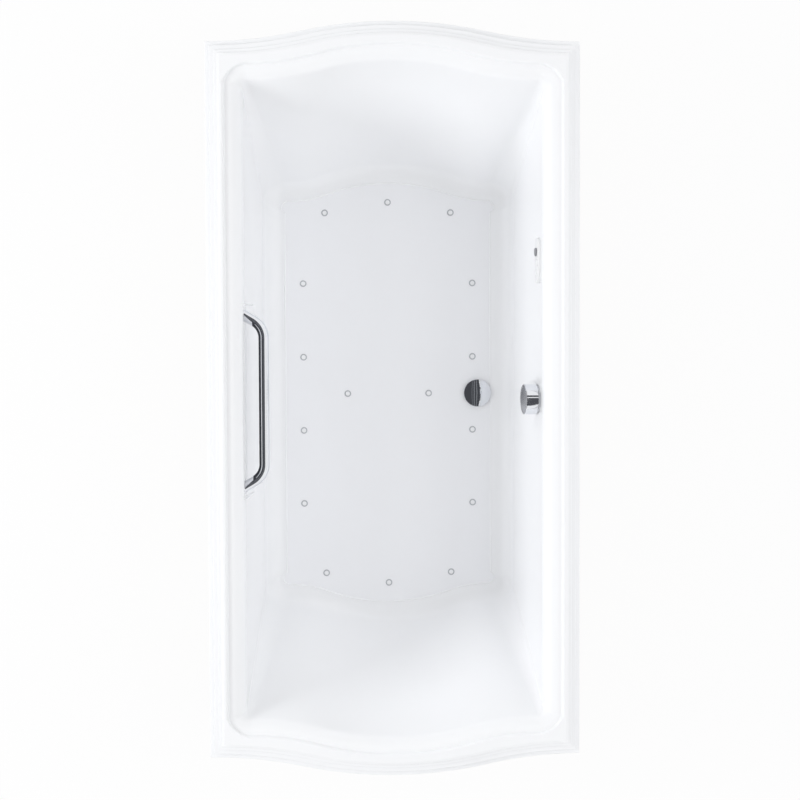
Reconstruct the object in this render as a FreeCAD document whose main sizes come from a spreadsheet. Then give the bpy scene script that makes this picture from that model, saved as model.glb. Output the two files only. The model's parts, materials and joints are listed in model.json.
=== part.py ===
import FreeCAD, Part

import math
import os

import Sketcher
from FreeCAD import Placement, Rotation, Vector

# A drop-in air-jet bathtub, in millimetres.
# Origin: on the ground, under the middle of the tub.
# +X points to the side with the waste, +Y along the tub, +Z up.

SIZES = [
    # the moulded tub
    ("overall_width", 902),
    ("overall_length", 1829),
    ("overall_height", 533),
    ("end_bow", 49),
    ("rim_turn", 0.5),
    ("rim_drop", 38),
    ("rim_low_height", 16),
    ("rim_low_tread", 12),
    ("rim_mid_height", 12),
    ("rim_mid_tread", 18),
    ("rim_edge", 2.5),
    ("shell_wall", 8),
    ("basin_width", 804),
    ("basin_length", 1610),
    ("basin_bow", 48),
    ("floor_height", 109),
    ("ledge_drop", 7),
    ("ledge_margin", 3),
    ("roll_radius", 40),
    ("cove_radius", 55),
    ("corner_top_radius", 14),
    ("corner_floor_radius", 66),
    ("floor_width", 560),
    ("floor_length", 1044),
    ("floor_turn", 0.7),
    ("panel_recess", 1),
    ("bead_width", 3),
    ("bead_height", 0.8),
    ("bead_margin", 1),
    # base
    ("board_width", 440),
    ("board_length", 940),
    ("board_thickness", 18),
    ("tongue_width", 260),
    ("tongue_reach", 890),
    ("board_notch", 130),
    ("block_side", 60),
    ("block_across", 150),
    ("block_along", 230),
    ("end_block_along", 380),
    # grab bar
    ("bar_radius", 12.7),
    ("bar_span", 422),
    ("bar_reach", 47.5),
    ("bar_lean", 31),
    ("bar_bend", 48),
    ("bar_depth", 80),
    ("bar_pad_out", 365),
    ("bar_pad_top", 30),
    ("bar_pad_flat", 108),
    ("bar_pad_fade", 85),
    ("bar_pad_length", 476),
    ("bar_boss_margin", 12),
    ("stud_radius", 5),
    ("stud_length", 32),
    ("stud_gap", 0.3),
    ("bar_plate_side", 44),
    ("bar_plate_thickness", 4),
    ("bar_nut_size", 17),
    ("bar_nut_thickness", 8),
    # air jets
    ("jet_side_across", 228.7),
    ("jet_side_near", 99.2),
    ("jet_side_far", 297.9),
    ("jet_end_across", 169.8),
    ("jet_end_along", 488),
    ("jet_tip_along", 515.8),
    ("jet_mid_across", 109.6),
    ("jet_head_radius", 9),
    ("jet_head_height", 2.4),
    ("jet_button_radius", 5),
    ("jet_stem_radius", 5),
    ("jet_stem_length", 22),
    ("jet_hole_gap", 0.3),
    # air channel bonded under the floor
    ("channel_width", 44),
    ("channel_depth", 58),
    ("channel_wall", 3),
    ("channel_flange", 10),
    ("channel_turn_along", 400),
    ("channel_end", 66),
    ("branch_end", 134),
    # supply pipe
    ("supply_radius", 24),
    ("supply_wall", 3),
    ("supply_gap", 0.1),
    ("supply_across", 150),
    ("supply_depth", 103),
    ("supply_entry", 6),
    # blower
    ("blower_along", 790),
    ("blower_radius", 94),
    ("blower_wall", 3),
    ("blower_well", 54),
    ("spigot_wall", 3),
    ("spigot_reach", 112),
    ("spigot_socket", 24),
    ("foot_side", 24),
    ("foot_height", 14),
    ("foot_pitch", 116),
    ("deck_thickness", 4),
    ("inlet_radius", 34),
    ("impeller_radius", 62),
    ("impeller_vane_height", 22),
    ("impeller_floor_gap", 8),
    ("vane_count", 9),
    ("vane_thickness", 2),
    ("vane_back", 16),
    ("plate_thickness", 2.5),
    ("hub_radius", 10),
    ("shaft_radius", 4),
    ("running_gap", 0.06),
    ("shaft_in_motor", 40),
    ("motor_radius", 40),
    ("motor_height", 78),
    ("motor_stand", 14),
    ("post_side", 8),
    ("dome_radius", 66),
    ("dome_height", 118),
    ("dome_edge", 12),
    ("dome_slots", 10),
    ("slot_width", 6),
    ("slot_height", 50),
    ("slot_low", 30),
    # waste and stopper
    ("waste_across", 242),
    ("waste_hole_radius", 26),
    ("flange_radius", 33.5),
    ("flange_thickness", 2.5),
    ("flange_edge", 1.5),
    ("throat_radius", 22),
    ("throat_wall", 3),
    ("throat_length", 34),
    ("spider_width", 5),
    ("spider_height", 5),
    ("guide_radius", 7),
    ("stopper_radius", 37),
    ("stopper_edge", 3),
    ("stopper_rise", 8),
    ("dome_rings", 4),
    ("stopper_stem_radius", 4),
    ("stopper_stem_length", 50),
    ("stopper_travel", 12),
    ("seal_radius", 28),
    ("seal_height", 2.2),
    ("plunger_length", 18),
    ("plunger_hold", 3),
    ("shoe_gasket", 4),
    ("shoe_flange_radius", 38),
    ("shoe_flange_thickness", 6),
    ("shoe_radius", 30),
    ("shoe_wall", 4),
    ("shoe_bottom", 35),
    ("arm_height", 58),
    ("drain_pipe_radius", 19.05),
    ("drain_pipe_wall", 1.5),
    ("tee_across", 389),
    ("tee_radius", 22.5),
    ("tee_reach", 30),
    ("tail_clear", 6),
    # overflow
    ("overflow_depth", 92),
    ("overflow_hole_radius", 24),
    ("retainer_radius", 33),
    ("retainer_thickness", 3),
    ("retainer_window_width", 12),
    ("retainer_window_height", 24),
    ("retainer_window_out", 14),
    ("knob_radius", 37.5),
    ("knob_face", 36),
    ("knob_back", 5),
    ("knob_edge", 2),
    ("knob_wall", 5),
    ("knob_rim", 5),
    ("knob_shaft_radius", 5),
    ("knob_shaft_in", 36),
    ("crank_length", 26),
    ("crank_width", 13),
    ("crank_thickness", 4),
    ("overflow_gasket", 3),
    ("housing_radius", 34),
    ("housing_depth", 46),
    ("housing_wall", 3),
    ("housing_pipe_drop", 19),
    ("cable_radius", 3),
    ("cable_gap", 0.3),
    ("cable_side", 27),
    ("cable_out", 391),
    ("cable_drop", 11),
    ("cable_low", 150),
    ("cable_turn_x", 342),
    ("cable_turn_y", 62),
    ("cable_entry_x", 26),
    ("cable_entry_y", 84),
    ("cable_end_gap", 3),
    # keypad
    ("keypad_along", 342),
    ("keypad_depth", 70),
    ("keypad_length", 112),
    ("keypad_height", 38),
    ("keypad_thickness", 8),
    ("keypad_edge", 1.5),
    ("keypad_neck_length", 74),
    ("keypad_neck_height", 24),
    ("keypad_neck_gap", 1),
    ("keypad_back_length", 92),
    ("keypad_back_height", 40),
    ("keypad_back_depth", 22),
    ("key_well", 6),
    ("key_gap", 0.25),
    ("key_travel", 1.2),
    ("key_rest_gap", 0.2),
    ("power_key_shift", 20.4),
    ("power_key_radius", 10.5),
    ("power_key_proud", 3.5),
    ("small_key_shift", 4.6),
    ("small_key_pitch", 25),
    ("small_key_radius", 7.5),
    ("small_key_proud", 1.4),
    # control box
    ("box_along", 742),
    ("box_length", 110),
    ("box_width", 170),
    ("box_height", 92),
    ("box_wall", 3),
    ("box_round", 6),
    ("lid_thickness", 4),
    ("gland_radius", 8),
    ("gland_length", 14),
    ("gland_pitch", 40),
    ("gland_height", 30),
]

doc = FreeCAD.newDocument("bathtub")
dims = doc.addObject("Spreadsheet::Sheet", "dims")
for row, (alias, value) in enumerate(SIZES, start=1):
    dims.set(f"A{row}", alias)
    dims.set(f"B{row}", str(value))
    dims.setAlias(f"B{row}", alias)
doc.recompute()

pieces = {}


def size(alias):
    """A driving dimension, as a number."""
    return float(dims.get(alias))


def at(x=0.0, y=0.0, z=0.0, rotation=Rotation()):
    """A place in the tub's frame."""
    return Placement(Vector(x, y, z), rotation)


def finish(label, obj):
    """Name a finished piece. Its label is its file's name."""
    obj.Label = label
    pieces[label] = obj
    return obj


def part(kind, name, placement=None, **cells):
    """A Part object whose properties are bound to the sheet."""
    obj = doc.addObject(kind, name)
    for prop, cell in cells.items():
        obj.setExpression(prop, cell)
    if placement:
        obj.Placement = placement
    return obj


def shaped(label, shape, placement=None):
    """A piece whose shape is worked out by the functions below."""
    obj = doc.addObject("Part::Feature", label)
    obj.Shape = shape
    if placement:
        obj.Placement = placement
    return finish(label, obj)


def repeated(label, shape, places):
    """Identical pieces that share one file."""
    copies = []
    for place in places:
        copy = shape.copy()
        copy.Placement = place
        copies.append(copy)
    return shaped(label, Part.makeCompound(copies))


def origin_plane(body, role):
    """One of a body's own origin planes."""
    return next(f for f in body.Origin.OriginFeatures if f.Role == role)


def bind_outline(sketch, points):
    """A closed outline of straight lines, each corner bound to two cells."""
    count = len(points)
    for i in range(count):
        ends = []
        for k in (i, i + 1):
            turn = 2 * math.pi * k / count
            ends.append(Vector(100 + 50 * math.cos(turn), 50 * math.sin(turn), 0))
        sketch.addGeometry(Part.LineSegment(*ends))
    for i, corner in enumerate(points):
        sketch.addConstraint(Sketcher.Constraint("Coincident", i, 2, (i + 1) % count, 1))
        for kind, axis, cell in zip(("DistanceX", "DistanceY"), (-2, -1), corner):
            if cell == "0":
                sketch.addConstraint(Sketcher.Constraint("PointOnObject", i, 1, axis))
            else:
                rule = sketch.addConstraint(Sketcher.Constraint(kind, -1, 1, i, 1, 1.0))
                sketch.setExpression(f"Constraints[{rule}]", cell)


def outline_in(body, name, role, points):
    """A sketch on one of a body's own planes."""
    sketch = body.newObject("Sketcher::SketchObject", name)
    sketch.AttachmentSupport = (origin_plane(body, role), [""])
    sketch.MapMode = "FlatFace"
    bind_outline(sketch, points)
    return sketch


def turned(label, points, placement):
    """A round piece: an outline of radius and height turned about its own axis."""
    body = doc.addObject("PartDesign::Body", label)
    sketch = outline_in(body, label + "_outline", "XZ_Plane", points)
    turn = body.newObject("PartDesign::Revolution", label + "_turn")
    turn.Profile = sketch
    turn.ReferenceAxis = (sketch, ["V_Axis"])
    turn.Angle = 360
    body.Tip = turn
    body.Placement = placement
    return body


def pushed(label, points, length, placement):
    """A flat-sided piece: an outline in plan pushed up by a cell's length."""
    body = doc.addObject("PartDesign::Body", label)
    sketch = outline_in(body, label + "_outline", "XY_Plane", points)
    pad = body.newObject("PartDesign::Pad", label + "_pad")
    pad.Profile = sketch
    pad.setExpression("Length", length)
    body.Tip = pad
    body.Placement = placement
    return body


def ring_points(inner, outer, low, high):
    """The section of a plain ring."""
    return [(inner, low), (outer, low), (outer, high), (inner, high)]


def centred_box(length, width, height, x=0.0, y=0.0, z=0.0):
    """A box centred on a point in plan, standing on z."""
    return Part.makeBox(length, width, height, Vector(x - length / 2, y - width / 2, z))


def hexagon_nut(across, thickness, bore):
    """A hexagonal nut standing on z = 0."""
    reach = across / 2 / math.cos(math.pi / 6)
    corners = [
        Vector(reach * math.cos(math.pi * k / 3), reach * math.sin(math.pi * k / 3), 0)
        for k in range(7)
    ]
    nut = Part.Face(Part.makePolygon(corners)).extrude(Vector(0, 0, thickness))
    return nut.cut(Part.makeCylinder(bore, thickness))


def bent_path(points, radii):
    """Straight runs joined by tangent arcs. radii has one value per inner point."""
    edges = []
    start = points[0]
    for before, corner, after, radius in zip(points, points[1:], points[2:], radii):
        come = (corner - before).normalize()
        leave = (after - corner).normalize()
        turn = come.getAngle(leave)
        back = radius * math.tan(turn / 2)
        first = corner - come * back
        last = corner + leave * back
        inward = (leave - come).normalize()
        middle = corner + inward * (radius / math.cos(turn / 2) - radius)
        edges.append(Part.LineSegment(start, first).toShape())
        edges.append(Part.Arc(first, middle, last).toShape())
        start = last
    edges.append(Part.LineSegment(start, points[-1]).toShape())
    return Part.Wire(edges)


def round_section(points, radius):
    """A circle square to the first run of a path."""
    facing = (points[1] - points[0]).normalize()
    return Part.Wire(Part.Circle(points[0], facing, radius).toShape())


def bent_rod(points, radii, radius):
    """A round rod with curved bends."""
    return bent_path(points, radii).makePipeShell([round_section(points, radius)], True, False)


def mitred_rod(points, radius):
    """A round rod whose runs meet at mitred elbows."""
    right_corner = 1
    path = Part.makePolygon(points)
    return path.makePipeShell([round_section(points, radius)], True, False, right_corner)


# ---------------------------------------------------------------- tub shell
deck = size("overall_height")
floor_top = size("floor_height")
floor_under = floor_top - size("shell_wall")
ledge = deck - size("ledge_drop")
panel_top = floor_top - size("panel_recess")


def common_lean(top, floor):
    """Angle from vertical of the straight wall between the roll and the cove."""
    roll = size("roll_radius")
    cove = size("cove_radius")
    run = top - floor
    drop = (ledge - roll) - (floor_top + cove)
    reach = math.hypot(run, drop)
    return math.atan2(run, drop) - math.asin((roll + cove) / reach)


side_lean = common_lean(size("basin_width") / 2, size("floor_width") / 2)
end_lean = common_lean(size("basin_length") / 2, size("floor_length") / 2)


def roll_back(lean):
    """How far the roll reaches past the sharp corner that it rounds."""
    return size("roll_radius") * math.tan((math.pi / 2 - lean) / 2)


wall_top_x = size("basin_width") / 2 - roll_back(side_lean)
wall_top_y = size("basin_length") / 2 - roll_back(end_lean)


def wall_x(z):
    """Half the basin's width on its straight side walls, at a height."""
    return wall_top_x - (ledge - z) * math.tan(side_lean)


def wall_y(z):
    """Half the basin's length at the corners, on the sloping ends, at a height."""
    return wall_top_y - (ledge - z) * math.tan(end_lean)


class Plan:
    """The tub's plan at a height: straight sides, bowed ends, rounded corners."""

    def __init__(self, half_width, half_length, corner, bow, turn, z):
        self.half_width = half_width
        self.half_length = half_length
        self.corner = corner
        self.z = z
        self.inner = half_width - corner
        self.slope = 2 * math.atan(bow / self.inner)
        self.back_radius = (1 - turn) * self.inner / math.sin(self.slope)
        self.crown_radius = turn * self.inner / math.sin(self.slope)
        self.turn_x = turn * self.inner
        self.turn_y = self.back_radius * (1 - math.cos(self.slope))
        self.cross_x = self.turn_x + self.turn_y / math.tan(self.slope)
        self.cross_y = self.turn_y + self.turn_x * math.tan(self.slope)

    def point(self, x, y, sx=1, sy=1):
        """A point of one quarter. y counts from the corners' end line."""
        return Vector(sx * x, sy * (self.half_length + y), self.z)

    def closed(self, quarter, crown, draw):
        """The four quarters and two crowns, in order, as one wire."""
        def placed(runs, sx, sy):
            return [[self.point(x, y, sx, sy) for x, y in run] for run in runs]

        def back(runs):
            return [run[::-1] for run in runs[::-1]]

        runs = placed(quarter + crown, 1, 1) + back(placed(quarter, -1, 1))
        runs += placed(quarter + crown, -1, -1) + back(placed(quarter, 1, -1))
        edges = []
        last = runs[-1][-1]
        for run in runs:
            if (run[0] - last).Length > 1e-6:
                edges.append(Part.LineSegment(last, run[0]).toShape())
            edges += draw(run)
            last = run[-1]
        return Part.Wire(edges)

    def arcs(self):
        """Drawn with true arcs, each given by its ends and its middle."""
        half = self.slope / 2
        quarter = []
        if self.corner:
            mid = self.corner * math.cos(math.pi / 4)
            start = (self.half_width, -self.corner)
            quarter.append([start, (self.inner + mid, mid - self.corner), (self.inner, 0)])
        back_mid = (
            self.inner - self.back_radius * math.sin(half),
            self.back_radius * (1 - math.cos(half)),
        )
        quarter.append([(self.inner, 0), back_mid, (self.turn_x, self.turn_y)])
        apex = self.turn_y + self.crown_radius * (1 - math.cos(self.slope))
        crown = [[(self.turn_x, self.turn_y), (0, apex), (-self.turn_x, self.turn_y)]]
        return self.closed(quarter, crown, lambda run: [Part.Arc(*run).toShape()])

    def curves(self):
        """Drawn with short curves that blend well from one height to another."""
        corner = self.corner
        mid = corner * math.cos(math.pi / 4)
        near = corner * math.tan(math.pi / 8)
        middle = (self.inner + mid, mid - corner)
        quarter = [
            [(self.half_width, -corner), (self.half_width, near - corner), middle],
            [middle, (self.inner + near, 0), (self.inner, 0)],
            [(self.inner, 0), (self.cross_x, 0), (self.turn_x, self.turn_y)],
        ]
        crown = [[(self.turn_x, self.turn_y), (0, self.cross_y), (-self.turn_x, self.turn_y)]]

        def draw(run):
            curve = Part.BezierCurve()
            curve.setPoles(run)
            return [curve.toShape()]

        return self.closed(quarter, crown, draw)

    def flats(self):
        """Drawn with straight lines that stay outside the curves."""
        near = self.corner * math.tan(math.pi / 8)
        apex_x = self.crown_radius * math.tan(self.slope / 2)
        apex_y = self.turn_y + self.crown_radius * (1 - math.cos(self.slope))
        quarter = [
            [(self.half_width, near - self.corner), (self.inner + near, 0)],
            [(self.inner + near, 0), (self.inner, 0)],
            [(self.inner, 0), (self.turn_x, self.turn_y)],
            [(self.turn_x, self.turn_y), (apex_x, apex_y)],
            [(apex_x, apex_y), (0, apex_y)],
        ]
        return self.closed(quarter, [], lambda run: [Part.LineSegment(*run).toShape()])


def slab(half_width, half_length, corner, bow, turn, low, high):
    """An upright block with the tub's plan."""
    base = Plan(half_width, half_length, corner, bow, turn, low).arcs()
    return Part.Face(base).extrude(Vector(0, 0, high - low))


def is_flat(corners):
    """True where four corners lie in one plane."""
    a, b, c, d = corners
    return abs((b - a).cross(c - a).normalize().dot(d - a)) < 1e-6


def flattened(solid):
    """The same solid with its four-sided straight faces as true planes."""
    faces = []
    for face in solid.Faces:
        edges = face.OuterWire.OrderedEdges
        chords = [(e.Vertexes[0].Point - e.Vertexes[-1].Point).Length for e in edges]
        straight = all(abs(e.Length - c) < 1e-6 for e, c in zip(edges, chords))
        corners = [v.Point for v in face.OuterWire.OrderedVertexes]
        if len(edges) == 4 and straight and is_flat(corners):
            faces.append(Part.Face(Part.makePolygon(corners + corners[:1])))
        else:
            faces.append(face.copy())
    shell = Part.makeShell(faces)
    shell.sewShape(1e-5)
    return Part.Solid(shell.Shells[0])


def level_edges(solid, z):
    """The edges that lie at a height."""
    found = []
    for edge in solid.Edges:
        heights = [v.Point.z for v in edge.Vertexes]
        heights.append(edge.valueAt((edge.FirstParameter + edge.LastParameter) / 2).z)
        if all(abs(h - z) < 1e-4 for h in heights):
            found.append(edge)
    return found


def rim_solid():
    """The stepped rim, hollow underneath."""
    half_width = size("overall_width") / 2
    bow = size("end_bow")
    half_length = size("overall_length") / 2 - bow
    wall = size("shell_wall")
    low = deck - size("rim_drop")
    step = low + size("rim_low_height")
    shelf = step + size("rim_mid_height")
    first = size("rim_low_tread")
    second = first + size("rim_mid_tread")

    def course(inset, bottom, top):
        turn = size("rim_turn")
        return slab(half_width - inset, half_length - inset, 0, bow, turn, bottom, top)

    outer = course(0, low, step)
    outer = outer.fuse([course(first, step, shelf), course(second, shelf, deck)])
    outer = outer.removeSplitter()
    crests = []
    for z in (step, shelf, deck):
        for edge in level_edges(outer, z):
            faces = outer.ancestorsOfType(edge, Part.Face)
            if any(f.CenterOfMass.z < z - 1e-3 for f in faces):
                crests.append(edge)
    outer = outer.makeChamfer(size("rim_edge"), crests)
    hollow = course(wall, low, step - wall).fuse(
        [
            course(first + wall, step - wall, shelf - wall),
            course(second + wall, shelf - wall, deck - wall),
        ]
    )
    return outer.cut(hollow)


def basin_inside():
    """The space inside the tub, with its rolled top edge and coved floor."""
    bow = size("basin_bow")
    top_corner = size("corner_top_radius")
    low = Plan(
        wall_x(floor_top), wall_y(floor_top), size("corner_floor_radius"),
        bow, size("floor_turn"), floor_top,
    )
    high = Plan(wall_top_x, wall_top_y, top_corner, bow, size("rim_turn"), ledge)
    well = flattened(Part.makeLoft([low.curves(), high.curves()], True, True))
    well = well.makeFillet(size("cove_radius"), level_edges(well, floor_top))
    margin = size("ledge_margin")
    mouth = slab(
        size("basin_width") / 2 + margin,
        size("basin_length") / 2 + margin,
        top_corner + roll_back(side_lean) + margin,
        bow,
        size("rim_turn"),
        ledge,
        deck + size("ledge_drop"),
    )
    inside = well.fuse(mouth).Solids[0]
    rolled = []
    for edge in level_edges(inside, ledge):
        faces = inside.ancestorsOfType(edge, Part.Face)
        if all(f.CenterOfMass.z < ledge + 1e-3 for f in faces):
            rolled.append(edge)
    return inside.makeFillet(size("roll_radius"), rolled)


def basin_outside():
    """The rough outer skin of the basin, with a flare under the rolled edge."""
    wall = size("shell_wall")
    low_corner = size("corner_floor_radius")
    top_corner = size("corner_top_radius")
    bow = size("basin_bow")
    top = ledge - wall
    knee = top - (size("roll_radius") - wall)
    side_gap = wall / math.cos(side_lean)
    end_gap = wall / math.cos(end_lean)
    collar_x = size("basin_width") / 2 + size("ledge_margin") + wall
    collar_y = size("basin_length") / 2 + size("ledge_margin") + wall

    def level(x, y, z, corner, turn):
        return Plan(x, y, corner, bow, turn, z).flats()

    def skin_level(z, corner, turn):
        return level(wall_x(z) + side_gap, wall_y(z) + end_gap, z, corner, turn)

    rim = level(collar_x, collar_y, top, top_corner + roll_back(side_lean), size("rim_turn"))
    wires = [
        skin_level(floor_under, low_corner, size("floor_turn")),
        skin_level(knee, top_corner, size("rim_turn")),
        rim,
    ]
    skin = flattened(Part.makeLoft(wires, True, True))
    collar = Part.Face(rim).extrude(Vector(0, 0, deck - wall - top))
    return skin.fuse(collar)


def bevel_under(sign):
    """The straight bevel along the bottom edge of a side wall."""
    wall = size("shell_wall")
    bevel = size("cove_radius") / 2
    x = wall_x(floor_under) + wall / math.cos(side_lean)
    y = wall_y(floor_top) - size("corner_floor_radius")
    corners = [
        Vector(sign * (x + 1), -y, floor_under - 1),
        Vector(sign * (x - bevel), -y, floor_under - 1),
        Vector(sign * (x - bevel), -y, floor_under),
        Vector(sign * (x + 1), -y, floor_under + bevel),
    ]
    face = Part.Face(Part.makePolygon(corners + corners[:1]))
    return face.extrude(Vector(0, 2 * y, 0))


def wall_place(y, z, out=0.0):
    """On the right wall: local X up the wall, Y along the tub, Z into the basin."""
    normal = Vector(-math.cos(side_lean), 0, math.sin(side_lean))
    up = Vector(math.sin(side_lean), 0, math.cos(side_lean))
    base = Vector(wall_x(z), y, z) + normal * out
    return Placement(base, Rotation(up, Vector(0, 1, 0), normal, "ZXY"))


def jet_places():
    """Where the sixteen air jets stand on the floor."""
    places = []
    for sx in (-1, 1):
        for sy in (-1, 1):
            places.append((sx * size("jet_side_across"), sy * size("jet_side_near")))
            places.append((sx * size("jet_side_across"), sy * size("jet_side_far")))
            places.append((sx * size("jet_end_across"), sy * size("jet_end_along")))
        places.append((sx * size("jet_mid_across"), 0.0))
    for sy in (-1, 1):
        places.append((0.0, sy * size("jet_tip_along")))
    return sorted(places)


overflow_z = deck - size("overflow_depth")
keypad_z = deck - size("keypad_depth")
bar_z = deck - size("bar_depth")
bar_y = size("bar_span") / 2
pad_x = size("bar_pad_out")


def stadium(length, height, low, high):
    """A plate with round ends: local Y along it, local X across it."""
    radius = height / 2
    half = length / 2 - radius
    plate = centred_box(height, 2 * half, high - low, z=low)
    ends = [
        Part.makeCylinder(radius, high - low, Vector(0, side * half, low)) for side in (-1, 1)
    ]
    return plate.fuse(ends).removeSplitter()


def long_prism(corners, half_length):
    """An outline across the tub pushed along it, to both sides of the middle."""
    points = [Vector(x, -half_length, z) for x, z in corners]
    face = Part.Face(Part.makePolygon(points + points[:1]))
    return face.extrude(Vector(0, 2 * half_length, 0))


def bar_recess():
    """The flat seat in the left wall that carries the grab bar."""
    top = deck - size("bar_pad_top") + size("roll_radius")
    flat = deck - size("bar_pad_flat")
    fade = flat - size("bar_pad_fade")
    fade_x = -wall_x(fade)
    inside_x = fade_x + size("roll_radius")
    corners = [(-pad_x, top), (-pad_x, flat), (fade_x, fade), (inside_x, fade), (inside_x, top)]
    return long_prism(corners, size("bar_pad_length") / 2)


def bar_boss():
    """The thickening behind that seat."""
    wall = size("shell_wall")
    margin = size("bar_boss_margin")
    low = deck - size("bar_pad_flat") - size("bar_pad_fade")
    flat = deck - size("bar_pad_flat") - margin
    high = deck - size("bar_pad_top") - margin
    corners = [
        (-wall_x(low), low - margin),
        (-wall_x(low) - wall, low - margin),
        (-pad_x - wall, flat),
        (-pad_x - wall, high),
        (-wall_x(high), high),
    ]
    return long_prism(corners, size("bar_pad_length") / 2 + margin)


def floor_panel(inset, low, high):
    """A thin slab with the outline of the floor's panel."""
    reach = math.tan((math.pi / 2 - side_lean) / 2) * size("cove_radius")
    corner = size("corner_floor_radius") - reach
    return slab(
        size("floor_width") / 2 - inset,
        size("floor_length") / 2 - inset,
        corner,
        size("basin_bow"),
        size("floor_turn"),
        low,
        high,
    )


def make_tub_shell():
    """The acrylic tub: rim, basin, floor panel and all the openings."""
    shell = rim_solid().fuse([basin_outside(), bar_boss()])
    shell = shell.cut([bevel_under(1), bevel_under(-1)])
    shell = shell.cut(basin_inside())
    edge = size("bead_margin")
    inner = edge + size("bead_width")
    bead_top = floor_top + size("bead_height")
    bead = floor_panel(edge, floor_top, bead_top).cut(floor_panel(inner, floor_top, bead_top))
    shell = shell.fuse(bead).cut(floor_panel(inner, panel_top, bead_top))
    through = 2 * size("shell_wall")
    hole_radius = size("jet_stem_radius") + size("jet_hole_gap")
    tools = [
        Part.makeCylinder(hole_radius, through, Vector(x, y, floor_under - 1))
        for x, y in jet_places()
    ]
    waste = Vector(size("waste_across"), 0, floor_under - 1)
    tools.append(Part.makeCylinder(size("waste_hole_radius"), through, waste))
    depth = size("shell_wall") + 2
    hole = Part.makeCylinder(size("overflow_hole_radius"), depth, Vector(0, 0, 1 - depth))
    hole.Placement = wall_place(0, overflow_z)
    slack = 2 * size("keypad_neck_gap")
    slot = stadium(
        size("keypad_neck_length") + slack, size("keypad_neck_height") + slack, 1 - depth, 1
    )
    slot.Placement = wall_place(size("keypad_along"), keypad_z)
    tools += [hole, slot, bar_recess()]
    for sy in (-1, 1):
        start = Vector(-pad_x - through, sy * bar_y, bar_z)
        stud_hole = size("stud_radius") + size("stud_gap")
        tools.append(Part.makeCylinder(stud_hole, 2 * through, start, Vector(1, 0, 0)))
    return shell.cut(tools)


shaped("tub_shell", make_tub_shell())

# --------------------------------------------------------------------- base


def board_points():
    """The plywood base's plan, with a tongue at each end and a notch for the waste."""
    w, b = "dims.board_width / 2", "dims.board_length / 2"
    t, r = "dims.tongue_width / 2", "dims.tongue_reach"
    n, d = "dims.board_notch / 2", "dims.board_width / 2 - dims.board_notch / 2"
    return [
        (f"-({t})", f"-({r})"), (t, f"-({r})"), (t, f"-({b})"), (w, f"-({b})"),
        (w, f"-({n})"), (d, f"-({n})"), (d, n), (w, n),
        (w, b), (t, b), (t, r), (f"-({t})", r),
        (f"-({t})", b), (f"-({w})", b), (f"-({w})", f"-({b})"), (f"-({t})", f"-({b})"),
    ]


finish("base_board", pushed("base_board", board_points(), "dims.board_thickness", at()))
board_top = size("board_thickness")
block = centred_box(size("block_side"), size("block_side"), floor_under - board_top)
block_places = [
    at(sx * size("block_across"), sy * size("block_along"), board_top)
    for sx in (-1, 1)
    for sy in (-1, 1)
]
block_places += [at(0, sy * size("end_block_along"), board_top) for sy in (-1, 1)]
repeated("support_blocks", block, block_places)

# ----------------------------------------------------------------- grab bar


def make_grab_bar():
    """A bent tube's outer form, cut flat on its seat, with a stud at each end."""
    reach = size("bar_reach")
    radius = size("bar_radius")
    spread = math.tan(math.radians(size("bar_lean")))
    corner_y = bar_y - reach * spread
    past = 2 * radius
    points = [
        Vector(-pad_x - past, bar_y + past * spread, bar_z),
        Vector(-pad_x + reach, corner_y, bar_z),
        Vector(-pad_x + reach, -corner_y, bar_z),
        Vector(-pad_x - past, -bar_y - past * spread, bar_z),
    ]
    bar = bent_rod(points, [size("bar_bend")] * 2, radius)
    wide = 3 * past
    behind = centred_box(wide, 2 * size("bar_span"), wide, -pad_x - wide / 2, 0, bar_z - past)
    stud = size("stud_radius")
    studs = [
        Part.makeCylinder(
            stud, size("stud_length") + stud, Vector(stud - pad_x, sy * bar_y, bar_z),
            Vector(-1, 0, 0),
        )
        for sy in (-1, 1)
    ]
    return bar.cut(behind).fuse(studs)


def behind_seat(x):
    """At both ends of the bar, with local Z pointing out through the left wall."""
    outward = Rotation(Vector(0, 0, 1), Vector(-1, 0, 0))
    return [at(x, sy * bar_y, bar_z, outward) for sy in (-1, 1)]


shaped("grab_bar", make_grab_bar())
stud_hole = size("stud_radius") + size("stud_gap")
plate_side = size("bar_plate_side")
plate_thickness = size("bar_plate_thickness")
backing = centred_box(plate_side, plate_side, plate_thickness)
backing = backing.cut(Part.makeCylinder(stud_hole, plate_thickness))
seat_back = -pad_x - size("shell_wall")
repeated("grab_bar_backing_plates", backing, behind_seat(seat_back))
bar_nut = hexagon_nut(size("bar_nut_size"), size("bar_nut_thickness"), stud_hole)
repeated("grab_bar_nuts", bar_nut, behind_seat(seat_back - plate_thickness))

# ----------------------------------------------------------------- air jets
jet = turned(
    "air_jet",
    [
        ("0", "-dims.jet_stem_length"),
        ("dims.jet_stem_radius", "-dims.jet_stem_length"),
        ("dims.jet_stem_radius", "0"),
        ("dims.jet_head_radius", "0"),
        ("dims.jet_button_radius", "dims.jet_head_height"),
        ("0", "dims.jet_head_height"),
    ],
    at(),
)
doc.recompute()
repeated("air_jets", jet.Shape, [at(x, y, panel_top) for x, y in jet_places()])

# -------------------------------------------------------------- air channel
channel_low = floor_under - size("channel_depth")
tip_slope = (size("jet_tip_along") - size("jet_end_along")) / size("jet_end_across")


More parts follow.
